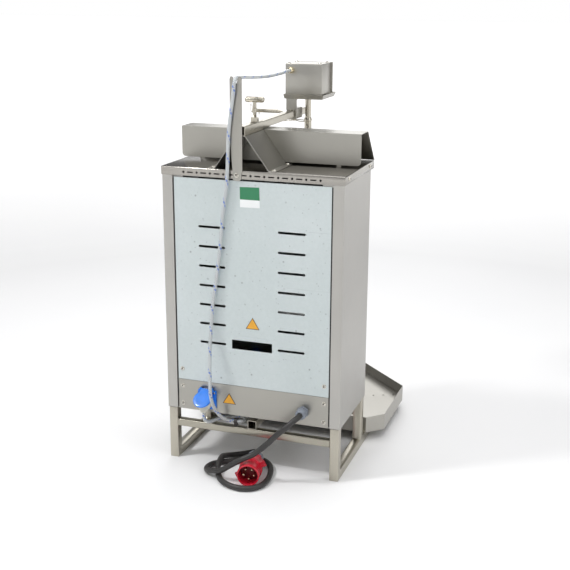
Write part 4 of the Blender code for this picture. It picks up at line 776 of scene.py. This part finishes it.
def make_socket_lid():
    """Round lid resting on the angled plug, tilted about its hinge pin."""
    x, z = SOCKET
    pivot = at(x, -0.0100, z + 0.0305)
    turn = Matrix.Translation(pivot) @ Matrix.Rotation(math.radians(52), 4, "X")
    bm = bmesh.new()
    lathe(bm, [(0, 0.0012), (0.0205, 0.0012), (0.0205, 0.0), (0.0254, 0.0), (0.0258, 0.0005), (0.0258, 0.0030),
               (0.0250, 0.0040), (0.0232, 0.0045), (0.0150, 0.0044), (0.0146, 0.0040), (0, 0.0040)],
          Vector((0, 0, -0.0315)), REAR, 72)
    block(bm, (0, 0.0019, -0.0100), LEFT, REAR, UP, (0.0280, 0.0030, 0.0200))
    lathe(bm, [(0, 0), (0.0030, 0), (0.0030, 0.0290), (0, 0.0290)], Vector((-0.0145, 0.0015, 0)), LEFT, 24)
    bmesh.ops.transform(bm, matrix=turn, verts=bm.verts)
    solid("socket_lid_finish", bm, "blue", "lid", ("socket_lid",), 35, 0.0004)


def make_angled_plug():
    """Angled two-pin plug in the socket: round body, and a tail that tapers to the lead."""
    x, z = SOCKET
    turned("angled_plug_finish",
           [(0, 0), (0.0180, 0), (0.0184, 0.0040), (0.0184, 0.0200), (0.0180, 0.0262), (0.0168, 0.0300),
            (0.0120, 0.0328), (0, 0.0330)],
           at(x, 0.0040, z), REAR, "ivory", "frame", ("angled_plug",), 56, 45)
    centre = z - 0.0065
    radius, depth = 0.0192, -0.0138
    outline = [at(x + radius * math.cos(a), depth, centre + radius * math.sin(a))
               for a in [math.radians(-20 + 10 * k) for k in range(23)]]
    tail_x, tail_z = PLUG_TAIL
    outline += [at(tail_x - 0.0064, depth, tail_z), at(tail_x + 0.0064, depth, tail_z)]
    bm = bmesh.new()
    plate(bm, outline, REAR * 0.0162)
    solid("angled_plug_tail", bm, "ivory", "frame", (), 45, 0.0034).modifiers[0].segments = 4


def make_front():
    """Knobs with pointers, lamps and scale marks of the hidden front."""
    for number, x in enumerate(KNOBS, 1):
        origin = at(x, CASE_DEPTH + 0.0008, KNOB_Z)
        bm = bmesh.new()
        lathe(bm, [(0, -0.0055), (0.0029, -0.0055), (0.0029, 0), (0.0212, 0), (0.0215, 0.0006),
                   (0.0214, 0.0026), (0.0205, 0.0036), (0.0182, 0.0048), (0.0168, 0.0160),
                   (0.0160, 0.0176), (0.0148, 0.0184), (0, 0.0186)], origin, FORWARD, 72)
        block(bm, origin + Vector((0, -0.0145, 0)), LEFT, REAR, UP, (0.0088, 0.0205, 0.0336))
        body = "knob_%d" % number
        solid(body + "_finish", bm, "black", body, ("heat_knob_%d" % number,), 32, 0.0009)
        bm = bmesh.new()
        block(bm, origin + Vector((0, -0.0247, 0.0095)), LEFT, REAR, UP, (0.0014, 0.0006, 0.0130))
        solid(body + "_pointer", bm, "mark", body)
    bm_lamp, bm_ring = bmesh.new(), bmesh.new()
    for x in KNOBS:
        spot = at(x, CASE_DEPTH, KNOB_Z + 0.0310)
        lathe(bm_ring, [(0.0036, -0.0002), (0.0056, -0.0002), (0.0056, 0.0012), (0.0050, 0.0018),
                        (0.0036, 0.0018)], spot, FORWARD, 32, closed=True)
        lathe(bm_lamp, [(0, -0.0002), (0.0036, -0.0002), (0.0036, 0.0022), (0.0030, 0.0036),
                        (0.0016, 0.0045), (0, 0.0047)], spot, FORWARD, 28)
    solid("lamp_rings", bm_ring, "polished", "frame")
    solid("lamp_lenses", bm_lamp, "lamp", "frame", (), 60)
    bm = bmesh.new()
    for k in range(11):
        turn = math.radians(-135 + 27 * k)
        out = Vector((math.sin(turn), 0, math.cos(turn)))
        for x in KNOBS:
            spot = at(x, CASE_DEPTH + 0.0001, KNOB_Z) + out * 0.0252
            block(bm, spot, out.cross(REAR), REAR, out, (0.0009, 0.0003, 0.0032))
    solid("scale_marks", bm, "border", "frame")


def make_elements():
    """Three heating elements: four runs joined by half turns, their ends bent to the rear."""
    reach, radius, depth = 0.190, 0.0041, 0.222
    half_pitch = 0.021
    straight = reach - half_pitch
    for zone in range(3):
        foot = 0.2740 + zone * 0.184
        route = []
        for run in range(4):
            z = foot + run * 2 * half_pitch
            sign = 1 if run % 2 == 0 else -1
            route += [(-sign * straight, z), (sign * straight, z)]
            if run < 3:
                for turn in [math.pi * k / 16 for k in range(1, 16)]:
                    route.append((sign * (straight + half_pitch * math.sin(turn)),
                                  z + half_pitch - half_pitch * math.cos(turn)))
        points = [at(x, depth, z) for x, z in route]
        first, last = points[0].copy(), points[-1].copy()
        first.y, last.y = [at(0, 0.1915, 0).y] * 2
        for end, near in ((first, 0), (last, -1)):
            corner = points[near]
            toward = points[1] if near == 0 else points[-2]
            step = (toward - corner).normalized() * 0.010
            shares = (0.0, 0.25, 0.5, 0.75, 1.0)
            bend = [corner + Vector((0, 0.010, 0)) * (1 - t) ** 2 + step * t ** 2 for t in shares]
            if near == 0:
                points = [end] + bend + points[1:]
            else:
                points = points[:-1] + bend[::-1] + [end]
        name = "heating_element_%d" % (zone + 1)
        tube(name + "_finish", points, radius, "element", "frame", (name,), 18)


def dress_nodes():
    """The CAD nodes that keep their own shape, with their edges rounded."""
    plain = {
        "sheet": ("lower_rear_panel", "heat_hood", "cable_holder", "motor_collar", "front_fascia",
                  "bottom_plate"),
        "pressed": ("arm_saddle", "drip_tray", "drip_plate", "motor_pan", "motor_cover", "motor_front_plate"),
        "side": ("left_side_panel", "right_side_panel"),
        "cover": ("top_cover",),
        "zinc": ("rear_panel",),
        "tube_x": ("rear_crossbar", "front_crossbar"),
        "tube_y": ("left_side_frame", "right_side_frame", "lower_outer_tube", "lower_inner_tube",
                   "arm_outer_tube", "arm_inner_tube"),
        "mirror": ("heater_reflector",),
        "polished": ("guard_grid",),
        "brass": ("motor_gland",),
        "motor": ("gear_motor",),
        "rubber": ("cable_clip",),
        "grey": ("heat_regulator_1", "heat_regulator_2", "heat_regulator_3"),
        "black": ("switch_bezel",),
        "green": ("motor_switch",),
    }
    already_round = plain["tube_x"] + plain["tube_y"] + ("top_cover", "motor_cover")
    bevels = {node: 0.0 for node in already_round}
    bevels |= {"front_fascia": 0.0003, "rear_panel": 0.0002, "lower_rear_panel": 0.0003,
               "left_side_panel": 0.00045, "right_side_panel": 0.00045, "guard_grid": 0.0008,
               "cable_clip": 0.0006, "gear_motor": 0.002}
    for mat, nodes in plain.items():
        for node in nodes:
            dress(node, mat, bevels.get(node, 0.0004))


# ---------------------------------------------------------------- studio
def area_light(name, place, target, size, power):
    """White rectangular light at a place, facing a target, with its power in watts."""
    data = bpy.data.lights.new(name, "AREA")
    data.shape = "RECTANGLE"
    data.size, data.size_y = size
    data.energy = power
    made = bpy.data.objects.new(name, data)
    bpy.context.scene.collection.objects.link(made)
    made.location = place
    made.rotation_mode = "QUATERNION"
    made.rotation_quaternion = (Vector(target) - Vector(place)).to_track_quat("-Z", "Y")


def make_floor():
    """Pale floor, 80 m wide, under the whole scene."""
    bm = bmesh.new()
    for x, y in ((-40, -40), (40, -40), (40, 40), (-40, 40)):
        bm.verts.new((x, y, 0))
    bm.faces.new(bm.verts)
    mesh = bpy.data.meshes.new("studio_floor")
    bm.to_mesh(mesh)
    bm.free()
    floor = bpy.data.objects.new("studio_floor", mesh)
    mesh.materials.append(floor_material())
    bpy.context.scene.collection.objects.link(floor)


def make_world():
    """Surroundings that the steel reflects: bright low down, dark above, white where seen directly."""
    world = bpy.data.worlds.new("studio")
    bpy.context.scene.world = world
    world.use_nodes = True
    tree = world.node_tree
    background = tree.nodes["Background"]
    place = tree.nodes.new("ShaderNodeTexCoord").outputs["Generated"]
    split = tree.nodes.new("ShaderNodeSeparateXYZ")
    tree.links.new(place, split.inputs["Vector"])
    ramp = tree.nodes.new("ShaderNodeValToRGB")
    marks = ramp.color_ramp.elements
    marks[0].position, marks[0].color = 0.09, (0.90, 0.90, 0.90, 1.0)
    marks[1].position, marks[1].color = 1.0, (0.62, 0.62, 0.63, 1.0)
    for position, grey in ((0.145, 0.22), (0.45, 0.18), (0.75, 0.45)):
        marks.new(position).color = (grey, grey, 1.01 * grey, 1.0)
    tree.links.new(split.outputs["Z"], ramp.inputs["Fac"])
    seen = tree.nodes.new("ShaderNodeLightPath").outputs["Is Camera Ray"]
    both = tree.nodes.new("ShaderNodeMix")
    both.data_type = "RGBA"
    tree.links.new(seen, both.inputs[0])
    tree.links.new(ramp.outputs["Color"], both.inputs[6])
    both.inputs[7].default_value = (1.0, 1.0, 1.0, 1.0)
    tree.links.new(both.outputs[2], background.inputs["Color"])
    background.inputs["Strength"].default_value = 1.0
    bpy.context.scene.view_settings.view_transform = "Standard"


def make_lights():
    """A small key light high on the +X side behind the machine, and large soft lights around it."""
    area_light("key_light", (2.0, 1.7, 3.2), (0, 0.1, 0.5), (0.60, 0.60), 66.0)
    area_light("side_light", (-3.2, 0.8, 2.2), (0, 0, 0.5), (2.0, 2.0), 30.0)
    area_light("top_light", (-0.3, -0.4, 3.8), (0, 0, 0.2), (3.0, 3.0), 60.0)
    area_light("front_light", (0.8, -3.6, 2.4), (0, 0, 0.6), (2.0, 2.0), 26.0)
    area_light("floor_light", (-0.4, 3.6, 3.4), (0, 1.6, 0.0), (3.0, 2.0), 26.0)


make_camera()
make_supply_gland()
make_five_pin_plug()
make_socket()
make_socket_lid()
make_angled_plug()
make_motor_lead()
make_supply_lead()
make_screws()
make_labels()
make_gap_shade_strips()
make_clamp()
make_spit()
make_wing_bolt()
make_front()
make_elements()
dress_nodes()
make_floor()
make_world()
make_lights()
